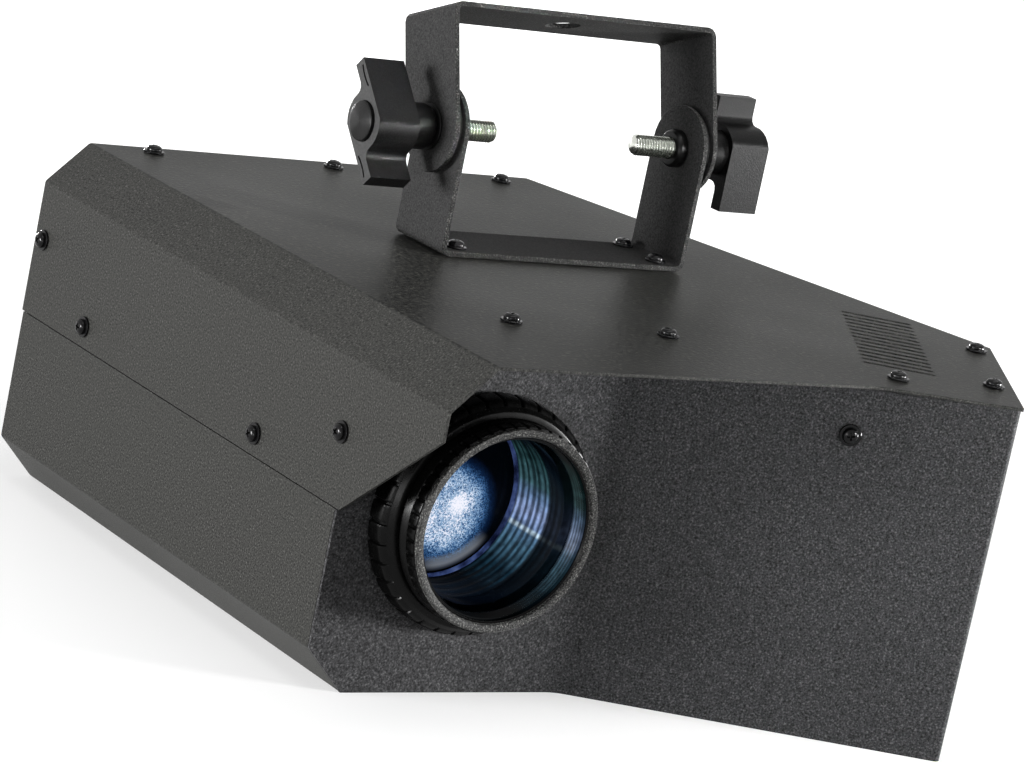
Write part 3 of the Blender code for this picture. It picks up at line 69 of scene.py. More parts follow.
# The clamp's levels on that axis
STUD_TIP = 0.0320
NUT_INNER = 0.0486
NUT_OUTER = 0.0526
BRACKET_MIDDLE = 0.0539
DISC_INNER = 0.0552
DISC_OUTER = 0.0570
YOKE_MIDDLE = 0.0583
WASHER_INNER = 0.0596
WASHER_OUTER = 0.0606
STUD_END = 0.0817
CAP_SEAT = 0.0870
KNOB_FACE = 0.0882
CAP_TOP = 0.0897
CLEAR_HOLE = 0.0043


# Colours and nodes

def linear(hex_colour):
    """An sRGB hex colour as linear RGBA."""
    values = [int(hex_colour[start:start + 2], 16) / 255 for start in (1, 3, 5)]
    return [v / 12.92 if v <= 0.04045 else ((v + 0.055) / 1.055) ** 2.4 for v in values] + [1.0]


def add(tree, kind, inputs=None, stops=None, **settings):
    """Add a node with its settings.

    It sets or links the node's inputs by name or number, and gives its ramp the stops (place, hex colour).
    """
    node = tree.nodes.new(kind)
    for name, value in settings.items():
        setattr(node, name, value)
    for name, value in (inputs or {}).items():
        if isinstance(value, bpy.types.NodeSocket):
            tree.links.new(value, node.inputs[name])
        else:
            node.inputs[name].default_value = value
    if stops:
        elements = node.color_ramp.elements
        while len(elements) < len(stops):
            elements.new(0.5)
        for element, (place, colour) in zip(elements, stops):
            element.position = place
            element.color = linear(colour)
    return node


def start_material(name):
    """An empty material, its tree and its Object coordinates."""
    material = bpy.data.materials.new(name)
    material.use_nodes = True
    tree = material.node_tree
    tree.nodes.clear()
    return material, tree, add(tree, 'ShaderNodeTexCoord').outputs["Object"]


def grained(name, colours, grain_mm, roughness, relief_mm, level=0.5, metallic=0.0, spread=0.06):
    """A finish made of small lumps, each grain_mm across and relief_mm high.

    Its colour runs through the colours from the pits to the crests. Its roughness stays within spread of
    the one given: it follows the lumps and a slow drift over 60 mm, which keeps large faces from looking
    printed. The level is the strength of its clear reflection.
    """
    # Noise spends nearly all of its values in this band
    pits, crests = 0.34, 0.70
    material, tree, place = start_material(name)
    lumps = add(tree, 'ShaderNodeTexNoise', {
        "Vector": place, "Scale": 1000 / (2 * grain_mm), "Detail": 3.0, "Roughness": 0.6}).outputs["Fac"]
    drift = add(tree, 'ShaderNodeTexNoise', {
        "Vector": place, "Scale": 1000 / (2 * 60), "Detail": 2.0}).outputs["Fac"]
    count = len(colours) - 1
    stops = [(pits + (crests - pits) * index / count, colour) for index, colour in enumerate(colours)]
    colour = add(tree, 'ShaderNodeValToRGB', {"Fac": lumps}, stops=stops).outputs["Color"]
    both = add(tree, 'ShaderNodeMath', {0: lumps, 1: drift}, operation='ADD').outputs[0]
    gloss = add(tree, 'ShaderNodeMapRange', {
        "Value": both, "From Min": 0.7, "From Max": 1.3,
        "To Min": roughness - spread, "To Max": roughness + spread}).outputs["Result"]
    height = add(tree, 'ShaderNodeBump', {"Height": lumps, "Strength": 1.0, "Distance": relief_mm / 1000})
    surface = add(tree, 'ShaderNodeBsdfPrincipled', {
        "Base Color": colour, "Roughness": gloss, "Metallic": metallic, "Specular IOR Level": level,
        "Normal": height.outputs["Normal"]})
    add(tree, 'ShaderNodeOutputMaterial', {"Surface": surface.outputs["BSDF"]})
    return material


# Materials

def powder_coated_steel():
    """Fine-texture black polyester powder baked on steel sheet, with a trace of olive.

    The lumps are about 0.3 mm. They are drawn 0.35 mm wide, so that a little of the speckle shows.
    """
    return grained(
        "powder_coated_steel", ["#141413", "#282827", "#2f2f2d", "#494947"],
        grain_mm=0.35, roughness=0.43, relief_mm=0.07, level=0.05)


def powder_coated_top():
    """The same powder on the cover's top, where it settles thicker.

    Its lumps are drawn 0.9 mm wide, so that they show at a low angle.
    """
    return grained(
        "powder_coated_top", ["#0e0e0d", "#212120", "#2c2c2a", "#4a4a45"],
        grain_mm=0.9, roughness=0.43, relief_mm=0.16, level=0.05)


def powder_front_painted_light():
    """The same powder on the front panel, with its lumps painted paler and bluish: painted light, a lit copy
    of the coat.

    They are about 0.3 mm and drawn 0.36 mm wide.
    """
    return grained(
        "powder_front_painted_light", ["#151515", "#2a2a2b", "#363637", "#545455"],
        grain_mm=0.36, roughness=0.44, relief_mm=0.07, level=0.05)


def powder_coated_bar():
    """The same powder on the 2 mm bar of the yoke and bracket, where it flows out smoother."""
    return grained(
        "powder_coated_bar", ["#232323", "#2d2d2d", "#323232", "#3b3b3a"],
        grain_mm=0.32, roughness=0.62, relief_mm=0.04, level=0.002)


def powder_edge_painted_highlight():
    """Powder gathered on the bar's punched edges, baked lumpy, with pale crests that are partly a painted
    highlight: 0.3 mm grains catch the light.
    """
    return grained(
        "powder_edge_painted_highlight", ["#0e0e0e", "#222222", "#30302f", "#5c5c5a"],
        grain_mm=0.32, roughness=0.60, relief_mm=0.10, level=0.03)


def black_oxide_steel():
    """Oiled black oxide on carbon steel screws and washers: nearly black, with sharp bright glints."""
    return grained(
        "black_oxide_steel", ["#060606", "#0c0c0d"],
        grain_mm=0.5, roughness=0.20, relief_mm=0.01, level=0.15, metallic=0.0, spread=0.04)


def dull_oxide_washer():
    """The knobs' washers, the same oxide worn dull where nylon rubs on it."""
    return grained(
        "dull_oxide_washer", ["#070707", "#0e0e0e"],
        grain_mm=0.6, roughness=0.5, relief_mm=0.02, level=0.1)


def zinc_plated_steel():
    """Bright zinc on turned steel: pale grey with a faint warm cast."""
    return grained(
        "zinc_plated_steel", ["#d2d4cd", "#dddfd8"],
        grain_mm=2.0, roughness=0.20, relief_mm=0.004, level=0.5, metallic=1.0, spread=0.04)


def thread_root_painted_shade():
    """Zinc in the thread's root, painted darker: painted shade, so that the turns show as stripes."""
    return grained(
        "thread_root_painted_shade", ["#747870", "#84887e"],
        grain_mm=1.0, roughness=0.35, relief_mm=0.01, level=0.5, metallic=0.8, spread=0.05)


def spark_textured_nylon():
    """Black glass-filled nylon moulded in a spark-eroded tool: a fine dull grain of about 0.3 mm."""
    return grained(
        "spark_textured_nylon", ["#020202", "#0a0a0a", "#161616"],
        grain_mm=0.3, roughness=0.38, relief_mm=0.08, level=0.07)


def knob_face_painted_light():
    """The knob's flat outer face, painted a lighter grey than its sides: painted light, a lit copy of the
    nylon.
    """
    return grained(
        "knob_face_painted_light", ["#262626", "#303030", "#3a3a3a"],
        grain_mm=0.4, roughness=0.48, relief_mm=0.03, level=0.2)


def polished_abs():
    """Black ABS moulded in a polished tool and handled since: deep black with soft highlights."""
    return grained(
        "polished_abs", ["#020202", "#040404"],
        grain_mm=1.5, roughness=0.27, relief_mm=0.003, level=0.09, metallic=0.0, spread=0.03)


def satin_abs():
    """Black ABS with a fine moulded grain: a soft sheen."""
    return grained(
        "satin_abs", ["#050505", "#0b0b0b"],
        grain_mm=0.4, roughness=0.34, relief_mm=0.02, level=0.14)


def coarse_wrinkle_paint():
    """Black wrinkle paint on the front rim, with lumps of about 0.3 mm that catch the light."""
    return grained(
        "coarse_wrinkle_paint", ["#0c0c0c", "#222222", "#3c3c3b", "#757572"],
        grain_mm=0.30, roughness=0.5, relief_mm=0.14, level=0.06)


def fibre_disc():
    """Pressed black friction fibre, dull and faintly mottled."""
    return grained(
        "fibre_disc", ["#0a0a0a", "#151515"],
        grain_mm=0.8, roughness=0.7, relief_mm=0.04, level=0.25)


def spun_anodised_cap():
    """Dark anodised disc, faced on a lathe: rings every 0.25 mm, drawn 0.5 mm apart, spread its highlight."""
    ring_pitch, ring_height = 0.0005, 0.00002
    material, tree, place = start_material("spun_anodised_cap")
    from_axis = add(tree, 'ShaderNodeVectorMath', {0: place, 1: (0.0, 0.0, PIVOT_Z)}, operation='SUBTRACT')
    across = add(tree, 'ShaderNodeVectorMath', {
        0: from_axis.outputs["Vector"], 1: (0.0, 1.0, 1.0)}, operation='MULTIPLY')
    reach = add(tree, 'ShaderNodeVectorMath', {0: across.outputs["Vector"]}, operation='LENGTH')
    turns = add(tree, 'ShaderNodeMath', {
        0: reach.outputs["Value"], 1: 2 * math.pi / ring_pitch}, operation='MULTIPLY').outputs[0]
    rings = add(tree, 'ShaderNodeMath', {0: turns}, operation='SINE').outputs[0]
    colour = add(tree, 'ShaderNodeValToRGB', {"Fac": rings}, stops=[(0.0, "#121212"), (1.0, "#1e1e1e")])
    height = add(tree, 'ShaderNodeBump', {"Height": rings, "Strength": 1.0, "Distance": ring_height})
    surface = add(tree, 'ShaderNodeBsdfPrincipled', {
        "Base Color": colour.outputs["Color"], "Roughness": 0.26, "Metallic": 0.3,
        "Specular IOR Level": 0.1, "Normal": height.outputs["Normal"]})
    add(tree, 'ShaderNodeOutputMaterial', {"Surface": surface.outputs["BSDF"]})
    return material


def coated_glass():
    """Crown glass with an anti-reflection coating: clear, with a tint that drifts slowly over 40 mm.

    An IOR of 1 stands for the coating, which leaves no reflection to see and no sparks in the tube.
    """
    material, tree, place = start_material("coated_glass")
    drift = add(tree, 'ShaderNodeTexNoise', {
        "Vector": place, "Scale": 1000 / (2 * 40), "Detail": 1.0}).outputs["Fac"]
    colour = add(tree, 'ShaderNodeValToRGB', {"Fac": drift}, stops=[(0.35, "#eef5ff"), (0.65, "#f4f4ff")])
    surface = add(tree, 'ShaderNodeBsdfPrincipled', {
        "Base Color": colour.outputs["Color"], "Roughness": 0.0, "IOR": 1.0, "Transmission Weight": 1.0})
    add(tree, 'ShaderNodeOutputMaterial', {"Surface": surface.outputs["BSDF"]})
    return material


def frosted_glass_painted_glow():
    """Frosted rear glass in front of the burning LED, with a painted glow: an emission stands in for the
    LED's light in the frost, a sparkling blue-white patch with one hot spot.

    Low on its right the glass's bevel shows a grey crescent of painted light.
    The frost's grains are about 0.2 mm, drawn 0.38 mm.
    """
    # Places in the glass, from the lens axis
    patch_middle, patch_core, patch_end = (0.003, 0.0, -0.007), 0.008, 0.0225
    spot_middle, spot_core, spot_end = (0.0073, 0.0, -0.0043), 0.0005, 0.006
    bevel_start, bevel_end, bevel_side = 0.022, 0.032, (0.42, 0.0, -0.906)
    material, tree, place = start_material("frosted_glass_painted_glow")
    from_axis = add(tree, 'ShaderNodeVectorMath', {0: place, 1: (LENS_X, 0.0, LENS_Z)}, operation='SUBTRACT')
    flat = add(tree, 'ShaderNodeVectorMath', {
        0: from_axis.outputs["Vector"], 1: (1.0, 0.0, 1.0)}, operation='MULTIPLY').outputs["Vector"]
    cells = add(tree, 'ShaderNodeTexVoronoi', {"Vector": place, "Scale": 1000 / 0.38}, feature='F1')
    grain = add(tree, 'ShaderNodeSeparateColor', {"Color": cells.outputs["Color"]}).outputs["Red"]
    clouds = add(tree, 'ShaderNodeTexNoise', {
        "Vector": place, "Scale": 1000 / (2 * 3.5), "Detail": 3.0}).outputs["Fac"]
    patch = add(tree, 'ShaderNodeVectorMath', {0: flat, 1: patch_middle}, operation='DISTANCE')
    fade = add(tree, 'ShaderNodeMapRange', {
        "Value": patch.outputs["Value"], "From Min": patch_core, "From Max": patch_end,
        "To Min": 1.0, "To Max": 0.0}, interpolation_type='SMOOTHSTEP').outputs["Result"]
    spot = add(tree, 'ShaderNodeVectorMath', {0: flat, 1: spot_middle}, operation='DISTANCE')
    hot = add(tree, 'ShaderNodeMapRange', {
        "Value": spot.outputs["Value"], "From Min": spot_core, "From Max": spot_end,
        "To Min": 0.5, "To Max": 0.0}, interpolation_type='SMOOTHSTEP').outputs["Result"]
    spark = add(tree, 'ShaderNodeMapRange', {
        "Value": grain, "To Min": 0.32, "To Max": 1.05}).outputs["Result"]
    drift = add(tree, 'ShaderNodeMapRange', {
        "Value": clouds, "From Min": 0.3, "From Max": 0.7, "To Min": 0.75, "To Max": 1.15}).outputs["Result"]
    level = add(tree, 'ShaderNodeMath', {0: spark, 1: drift}, operation='MULTIPLY').outputs[0]
    level = add(tree, 'ShaderNodeMath', {0: level, 1: hot}, operation='ADD').outputs[0]
    level = add(tree, 'ShaderNodeMath', {0: level, 1: fade}, operation='MULTIPLY').outputs[0]
    glow = add(tree, 'ShaderNodeValToRGB', {"Fac": level}, stops=[
        (0.0, "#010204"), (0.14, "#0d2240"), (0.34, "#3c6690"), (0.55, "#8eb0cc"), (0.75, "#cadde9"),
        (1.0, "#ffffff")]).outputs["Color"]
    reach = add(tree, 'ShaderNodeVectorMath', {0: flat}, operation='LENGTH').outputs["Value"]
    # The grey crescent on the bevel is painted light
    in_bevel = add(tree, 'ShaderNodeMapRange', {
        "Value": reach, "From Min": bevel_start, "From Max": bevel_end}).outputs["Result"]
    ring = add(tree, 'ShaderNodeValToRGB', {"Fac": in_bevel}, stops=[
        (0.15, "#000000"), (0.32, "#5c625f"), (0.55, "#6c7070"), (0.70, "#30343a"), (0.78, "#000000")])
    outward = add(tree, 'ShaderNodeVectorMath', {0: flat}, operation='NORMALIZE').outputs["Vector"]
    toward = add(tree, 'ShaderNodeVectorMath', {0: outward, 1: bevel_side}, operation='DOT_PRODUCT')
    sector = add(tree, 'ShaderNodeMapRange', {
        "Value": toward.outputs["Value"], "From Min": 0.84, "From Max": 0.97},
        interpolation_type='SMOOTHSTEP').outputs["Result"]
    crescent = add(tree, 'ShaderNodeVectorMath', {
        0: ring.outputs["Color"], "Scale": sector}, operation='SCALE')
    both = add(tree, 'ShaderNodeVectorMath', {0: glow, 1: crescent.outputs["Vector"]}, operation='ADD')
    surface = add(tree, 'ShaderNodeBsdfPrincipled', {
        "Base Color": linear("#010203"), "Roughness": 0.2, "Specular IOR Level": 0.05,
        "Emission Color": both.outputs["Vector"], "Emission Strength": 1.0})
    add(tree, 'ShaderNodeOutputMaterial', {"Surface": surface.outputs["BSDF"]})
    return material


def bore_painted_lamp_light(name, ring_mm, deep, shallow, strength, mirror):
    """Black anodised aluminium inside the lens tube, with painted light: an emission stands in for the LED's
    light along its turned rings.

    The painted light lies between the shallow and the deep level behind the lens face. Round the wall it goes
    from teal above through lavender to teal below, as the coated glass splits it. A painted reflection of the
    LED, a thin line in the mirror colour, runs along the wall.
    """
    material, tree, place = start_material(name)
    lens_face = (LENS_X, LENS_FACE_Y, LENS_Z)
    from_face = add(tree, 'ShaderNodeVectorMath', {0: place, 1: lens_face}, operation='SUBTRACT')
    along = add(tree, 'ShaderNodeSeparateXYZ', {"Vector": from_face.outputs["Vector"]})
    depth = along.outputs["Y"]
    angle = add(tree, 'ShaderNodeMath', {
        0: along.outputs["Z"], 1: along.outputs["X"]}, operation='ARCTAN2').outputs[0]
    turn = add(tree, 'ShaderNodeMapRange', {
        "Value": angle, "From Min": math.radians(-90), "From Max": math.radians(90)}).outputs["Result"]
    streaks = add(tree, 'ShaderNodeTexNoise', {
        "Vector": place, "Scale": 1000 / (2 * 1.5), "Detail": 4.0}).outputs["Fac"]
    turns = add(tree, 'ShaderNodeMath', {
        0: depth, 1: 2 * math.pi / (ring_mm / 1000)}, operation='MULTIPLY').outputs[0]
    rings = add(tree, 'ShaderNodeMath', {0: turns}, operation='SINE').outputs[0]
    level = add(tree, 'ShaderNodeMapRange', {
        "Value": rings, "From Min": -0.7, "From Max": 1.0, "To Min": 0.22, "To Max": 1.0}).outputs["Result"]
    start = add(tree, 'ShaderNodeMapRange', {
        "Value": depth, "From Min": shallow - 0.0015, "From Max": shallow + 0.0005,
        "To Min": 0.04, "To Max": 1.0}).outputs["Result"]
    end = add(tree, 'ShaderNodeMapRange', {
        "Value": depth, "From Min": deep - 0.001, "From Max": deep + 0.001,
        "To Min": 1.0, "To Max": 0.0}).outputs["Result"]
    mottle = add(tree, 'ShaderNodeMapRange', {
        "Value": streaks, "From Min": 0.3, "From Max": 0.7, "To Min": 0.45, "To Max": 1.35}).outputs["Result"]
    for factor in (start, end, mottle, strength):
        level = add(tree, 'ShaderNodeMath', {0: level, 1: factor}, operation='MULTIPLY').outputs[0]
    # Colours of the painted light round the wall; the stops at 0.404 to 0.412 are the painted reflection line
    tint = add(tree, 'ShaderNodeValToRGB', {"Fac": turn}, stops=[
        (0.12, "#020304"), (0.24, "#16303c"), (0.34, "#4d7488"), (0.396, "#5f83a0"), (0.404, mirror),
        (0.412, mirror), (0.420, "#88a4cc"), (0.47, "#a9c0ea"), (0.53, "#7391b4"), (0.58, "#44686c"),
        (0.68, "#2c4c4c"), (0.78, "#0e1819")])
    surface = add(tree, 'ShaderNodeBsdfPrincipled', {
        "Base Color": linear("#020304"), "Roughness": 0.22, "Specular IOR Level": 0.08,
        "Emission Color": tint.outputs["Color"], "Emission Strength": level})
    add(tree, 'ShaderNodeOutputMaterial', {"Surface": surface.outputs["BSDF"]})
    return material


def edge_painted_blue_glow():
    """The ground and coated edge of the rear glass, where a painted blue-violet glow stands in for the lamp's
    light.
    """
    material, tree, place = start_material("edge_painted_blue_glow")
    mottle = add(tree, 'ShaderNodeTexNoise', {
        "Vector": place, "Scale": 1000 / (2 * 3), "Detail": 3.0}).outputs["Fac"]
    power = add(tree, 'ShaderNodeMapRange', {
        "Value": mottle, "From Min": 0.35, "From Max": 0.7, "To Min": 0.06, "To Max": 0.40}).outputs["Result"]
    tint = add(tree, 'ShaderNodeValToRGB', {"Fac": mottle}, stops=[
        (0.3, "#343a80"), (0.55, "#6a86cc"), (0.8, "#a8c0f0")])
    surface = add(tree, 'ShaderNodeBsdfPrincipled', {
        "Base Color": linear("#0a0c18"), "Roughness": 0.2,
        "Emission Color": tint.outputs["Color"], "Emission Strength": power})
    add(tree, 'ShaderNodeOutputMaterial', {"Surface": surface.outputs["BSDF"]})
    return material


def mill_finish_aluminium():
    """Extruded aluminium as it leaves the die: pale, with die lines about 0.4 mm apart along its length."""
    material, tree, place = start_material("mill_finish_aluminium")
    lines = add(tree, 'ShaderNodeMapping', {"Vector": place, "Scale": (1.0, 1.0, 0.04)}).outputs["Vector"]
    streaks = add(tree, 'ShaderNodeTexNoise', {
        "Vector": lines, "Scale": 1000 / (2 * 0.4), "Detail": 3.0}).outputs["Fac"]
    colour = add(tree, 'ShaderNodeValToRGB', {"Fac": streaks}, stops=[(0.3, "#a9abad"), (0.7, "#c9cbcc")])
    dull = add(tree, 'ShaderNodeMapRange', {
        "Value": streaks, "To Min": 0.28, "To Max": 0.42}).outputs["Result"]
    height = add(tree, 'ShaderNodeBump', {"Height": streaks, "Strength": 0.5, "Distance": 0.00002})
    surface = add(tree, 'ShaderNodeBsdfPrincipled', {
        "Base Color": colour.outputs["Color"], "Roughness": dull, "Metallic": 1.0,
        "Normal": height.outputs["Normal"]})
    add(tree, 'ShaderNodeOutputMaterial', {"Surface": surface.outputs["BSDF"]})
    return material


def rolled_steel():
    """Thin cold-rolled steel of the pattern wheel: bright, with fine rolling lines."""
    return grained(
        "rolled_steel", ["#8e8f91", "#b4b5b7"],
        grain_mm=0.7, roughness=0.26, relief_mm=0.008, level=0.5, metallic=1.0)


def solder_mask():
    """Green solder mask on glass-epoxy board, glossy between the parts."""
    return grained(
        "solder_mask", ["#0b3a1c", "#0f4a24", "#1a5c30"],
        grain_mm=1.0, roughness=0.30, relief_mm=0.02, level=0.5)


def white_ceramic():
    """White ceramic of the LED's board and collar."""
    return grained(
        "white_ceramic", ["#cfcfc8", "#e4e4de"],
        grain_mm=0.8, roughness=0.42, relief_mm=0.02, level=0.5)


def smoked_acrylic():
    """Smoked acrylic window of the display: black and mirror-smooth."""
    return grained(
        "smoked_acrylic", ["#020203", "#050506"],
        grain_mm=3.0, roughness=0.07, relief_mm=0.002, level=0.5, metallic=0.0, spread=0.02)


# Making and placing pieces

def add_piece(name, shape, material, smooth_angle=32):
    """Turn a bmesh into an object at the origin, with one material."""
    mesh = bpy.data.meshes.new(name)
    shape.to_mesh(mesh)
    shape.free()
    mesh.shade_smooth()
    mesh.set_sharp_from_angle(angle=math.radians(smooth_angle))
    piece = bpy.data.objects.new(name, mesh)
    bpy.context.scene.collection.objects.link(piece)
    mesh.materials.append(material)
    return piece


def stand_for(piece, node):
    """A piece replaces a CAD node and rides on its body."""
    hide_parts(node)
    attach(piece, BODY_OF[node])
    return piece


def copied(node):
    """A bmesh of a CAD solid with its doubles merged and its flat faces whole."""
    shape = bmesh.new()
    shape.from_mesh(NODES[node].data)
    bmesh.ops.remove_doubles(shape, verts=shape.verts, dist=2e-6)
    bmesh.ops.dissolve_limit(shape, angle_limit=math.radians(0.5), verts=shape.verts, edges=shape.edges)
    return shape


def hard_edges(shape, angle=40):
    """The edges where two faces meet at more than an angle in degrees."""
    return [edge for edge in shape.edges
            if len(edge.link_faces) == 2 and edge.calc_face_angle(0.0) > math.radians(angle)]


def rounded(shape, edges, width, segments, clamp):
    """Round edges of a bmesh by width, with one flat or two steps."""
    bmesh.ops.bevel(shape, geom=edges, offset=width, offset_type='OFFSET', segments=segments, profile=0.5,
                    affect='EDGES', clamp_overlap=clamp, material=-1, loop_slide=True,
                    miter_outer='SHARP' if segments == 1 else 'ARC', miter_inner='SHARP', spread=0.0001)


def keep_faces_flat(piece):
    """Large faces keep their own normals beside narrow rounded edges."""
    steady = piece.modifiers.new("flat_faces_stay_flat", 'WEIGHTED_NORMAL')
    steady.mode = 'FACE_AREA_WITH_ANGLE'
    steady.keep_sharp = True
    return piece


def give_second_finish(piece, material, chosen):
    """The faces that chosen picks get the piece's second material."""
    piece.data.materials.append(material)
    for face in piece.data.polygons:
        if chosen(face):
            face.material_index = 1


def finish_node(node, material, width=0.00015, segments=1, clamp=True):
    """The CAD solid itself with its cut edges slightly broken."""
    shape = copied(node)
    rounded(shape, hard_edges(shape), width, segments, clamp)
    return stand_for(keep_faces_flat(add_piece(node + "_finished", shape, material, 60)), node)


def finish_cover(material, top_material):
    """The cover: its top plate gets the thicker coat."""
    give_second_finish(finish_node("top_cover", material), top_material, lambda face: face.normal.z > 0.9)


def finish_bar(node, material, edge_material, middle, lean):
    """A bar of the yoke or bracket: its punched edges, where the powder gathers, get their own finish, paler
    as a painted highlight.

    The arms stand at the middle distance from the housing's middle, and the bar leans back by lean.
    """
    arm_reach = 0.0012
    upright = Matrix.Rotation(-lean, 3, 'X')

    def is_punched(face):
        normal = upright @ face.normal
        in_arm = abs(abs(face.center.x) - middle) < arm_reach
        return abs(normal.y) > 0.3 or in_arm and abs(normal.x) < 0.8

    piece = finish_node(node, material, width=0.00025, segments=2, clamp=False)
    # The punched edges take the paler powder, partly a painted highlight
    give_second_finish(piece, edge_material, is_punched)


def turned_shape(profile, steps, place):
    """Spin a profile of radius and height round its own height."""
    shape = bmesh.new()
    verts = [shape.verts.new((radius, 0, height)) for radius, height in profile]
    edges = [shape.edges.new(pair) for pair in zip(verts, verts[1:])]
    if all(radius > 1e-6 for radius, height in profile):
        edges.append(shape.edges.new((verts[-1], verts[0])))
    bmesh.ops.spin(shape, geom=verts + edges, cent=(0, 0, 0), axis=(0, 0, 1), dvec=(0, 0, 0),
                   angle=2 * math.pi, steps=steps, use_merge=True, use_duplicate=False)
    bmesh.ops.remove_doubles(shape, verts=shape.verts, dist=1e-6)
    bmesh.ops.recalc_face_normals(shape, faces=shape.faces)
    if shape.calc_volume(signed=True) < 0:
        bmesh.ops.reverse_faces(shape, faces=shape.faces)
    bmesh.ops.transform(shape, matrix=place, verts=shape.verts)
    return shape


def turned(name, profile, steps, material, place, smooth_angle=32):
    """A turned piece with one material."""
    return add_piece(name, turned_shape(profile, steps, place), material, smooth_angle)


def sink_grooves(shape, count, low, high, radius, depth, bottom, top, fade):
    """Sink count grooves of a depth into a spun band, outside a radius and between two heights.

    Measured from its middle in halves of the pitch, a groove's floor ends at bottom and its walls at top.
    Towards the high end the groove runs out over fade.
    """
    for vert in shape.verts:
        reach = math.hypot(vert.co.x, vert.co.y)
        if reach < radius or not low < vert.co.z < high:
            continue
        phase = (math.atan2(vert.co.y, vert.co.x) / (2 * math.pi) * count) % 1.0
        away = min(phase, 1 - phase) * 2
        share = min(1.0, max(0.0, (top - away) / (top - bottom))) * min(1.0, (high - vert.co.z) / fade)
        factor = 1 - depth * share / reach
        vert.co.x *= factor
        vert.co.y *= factor


# Screws

def recess_cutter(material, turn):
    """One bar of the driver's cross, narrower towards its bottom."""
    length, width, height, level = 0.0038, 0.0009, 0.0026, 0.0020
    shape = bmesh.new()
    made = bmesh.ops.create_cube(shape, size=1.0)
    foot = [vert for vert in made["verts"] if vert.co.z < 0]
    bmesh.ops.scale(shape, vec=(0.45, 0.6, 1.0), verts=foot)
    size = Matrix.Diagonal((length, width, height, 1.0))
    place = Matrix.Rotation(math.radians(turn), 4, 'Z') @ Matrix.Translation((0, 0, level)) @ size
    bmesh.ops.transform(shape, matrix=place, verts=made["verts"])
    return add_piece("recess_cutter", shape, material)


def screw_pattern(material):
    """Pan head with a cross recess on a plain washer; the top of the washer lies at height 0."""
    body = turned("screw_pattern", [
        (0, HEAD_HEIGHT), (0.0012, 0.00206), (0.0020, 0.00190), (0.0026, 0.00155), (0.00292, 0.0010),
        (0.0030, 0.0004), (0.00296, 0.00005), (0.0033, 0.0), (0.0038, 0.0), (0.0040, -0.00018),
        (0.0040, -0.00055), (0.00385, -0.0007), (0.0015, -0.0007), (0.0015, -0.0060), (0, -0.0064)],
        40, material, Matrix.Identity(4))
    for turn in (0, 90):
        cutter = recess_cutter(material, turn)
        sink = body.modifiers.new("recess", 'BOOLEAN')
        sink.operation = 'DIFFERENCE'
        sink.solver = 'EXACT'
        sink.object = cutter
        bpy.context.view_layer.update()
        mesh = bpy.data.meshes.new_from_object(body.evaluated_get(bpy.context.evaluated_depsgraph_get()))
        body.modifiers.clear()
        body.data = mesh
        bpy.data.objects.remove(cutter)
    pattern = body.data
    bpy.data.objects.remove(body)
    return pattern


def add_screws(material):
    """The same head stands where each CAD screw has its crown, each turned its own way as screws end up."""
    pattern = screw_pattern(material)
    normals = {f"cover_screw_{index}": Vector((0, 0, 1)) for index in range(1, 9)}
    normals.update({f"side_screw_{index}": Vector((-1, 0, 0)) for index in range(1, 5)})
    normals.update({f"bracket_screw_{index}": Vector((0, 0, 1)) for index in range(1, 5)})
    normals["wing_screw"] = WING_NORMAL
    for count, (node, normal) in enumerate(normals.items()):
        points = [vert.co for vert in NODES[node].data.vertices]
        highest = max(point.dot(normal) for point in points)
        crown = [point for point in points if point.dot(normal) > highest - 1e-6]
        middle = sum(crown, Vector()) / len(crown)
        upright = Vector((0, 0, 1)).rotation_difference(normal).to_matrix().to_4x4()
        turn = Matrix.Rotation(math.radians(37 * count + 20), 4, 'Z')
        shape = bmesh.new()
        shape.from_mesh(pattern)
        place = Matrix.Translation(middle) @ upright @ turn @ Matrix.Translation((0, 0, -HEAD_HEIGHT))
        bmesh.ops.transform(shape, matrix=place, verts=shape.verts)
        stand_for(add_piece(node + "_head", shape, material, 40), node)


# Clamp studs and knobs

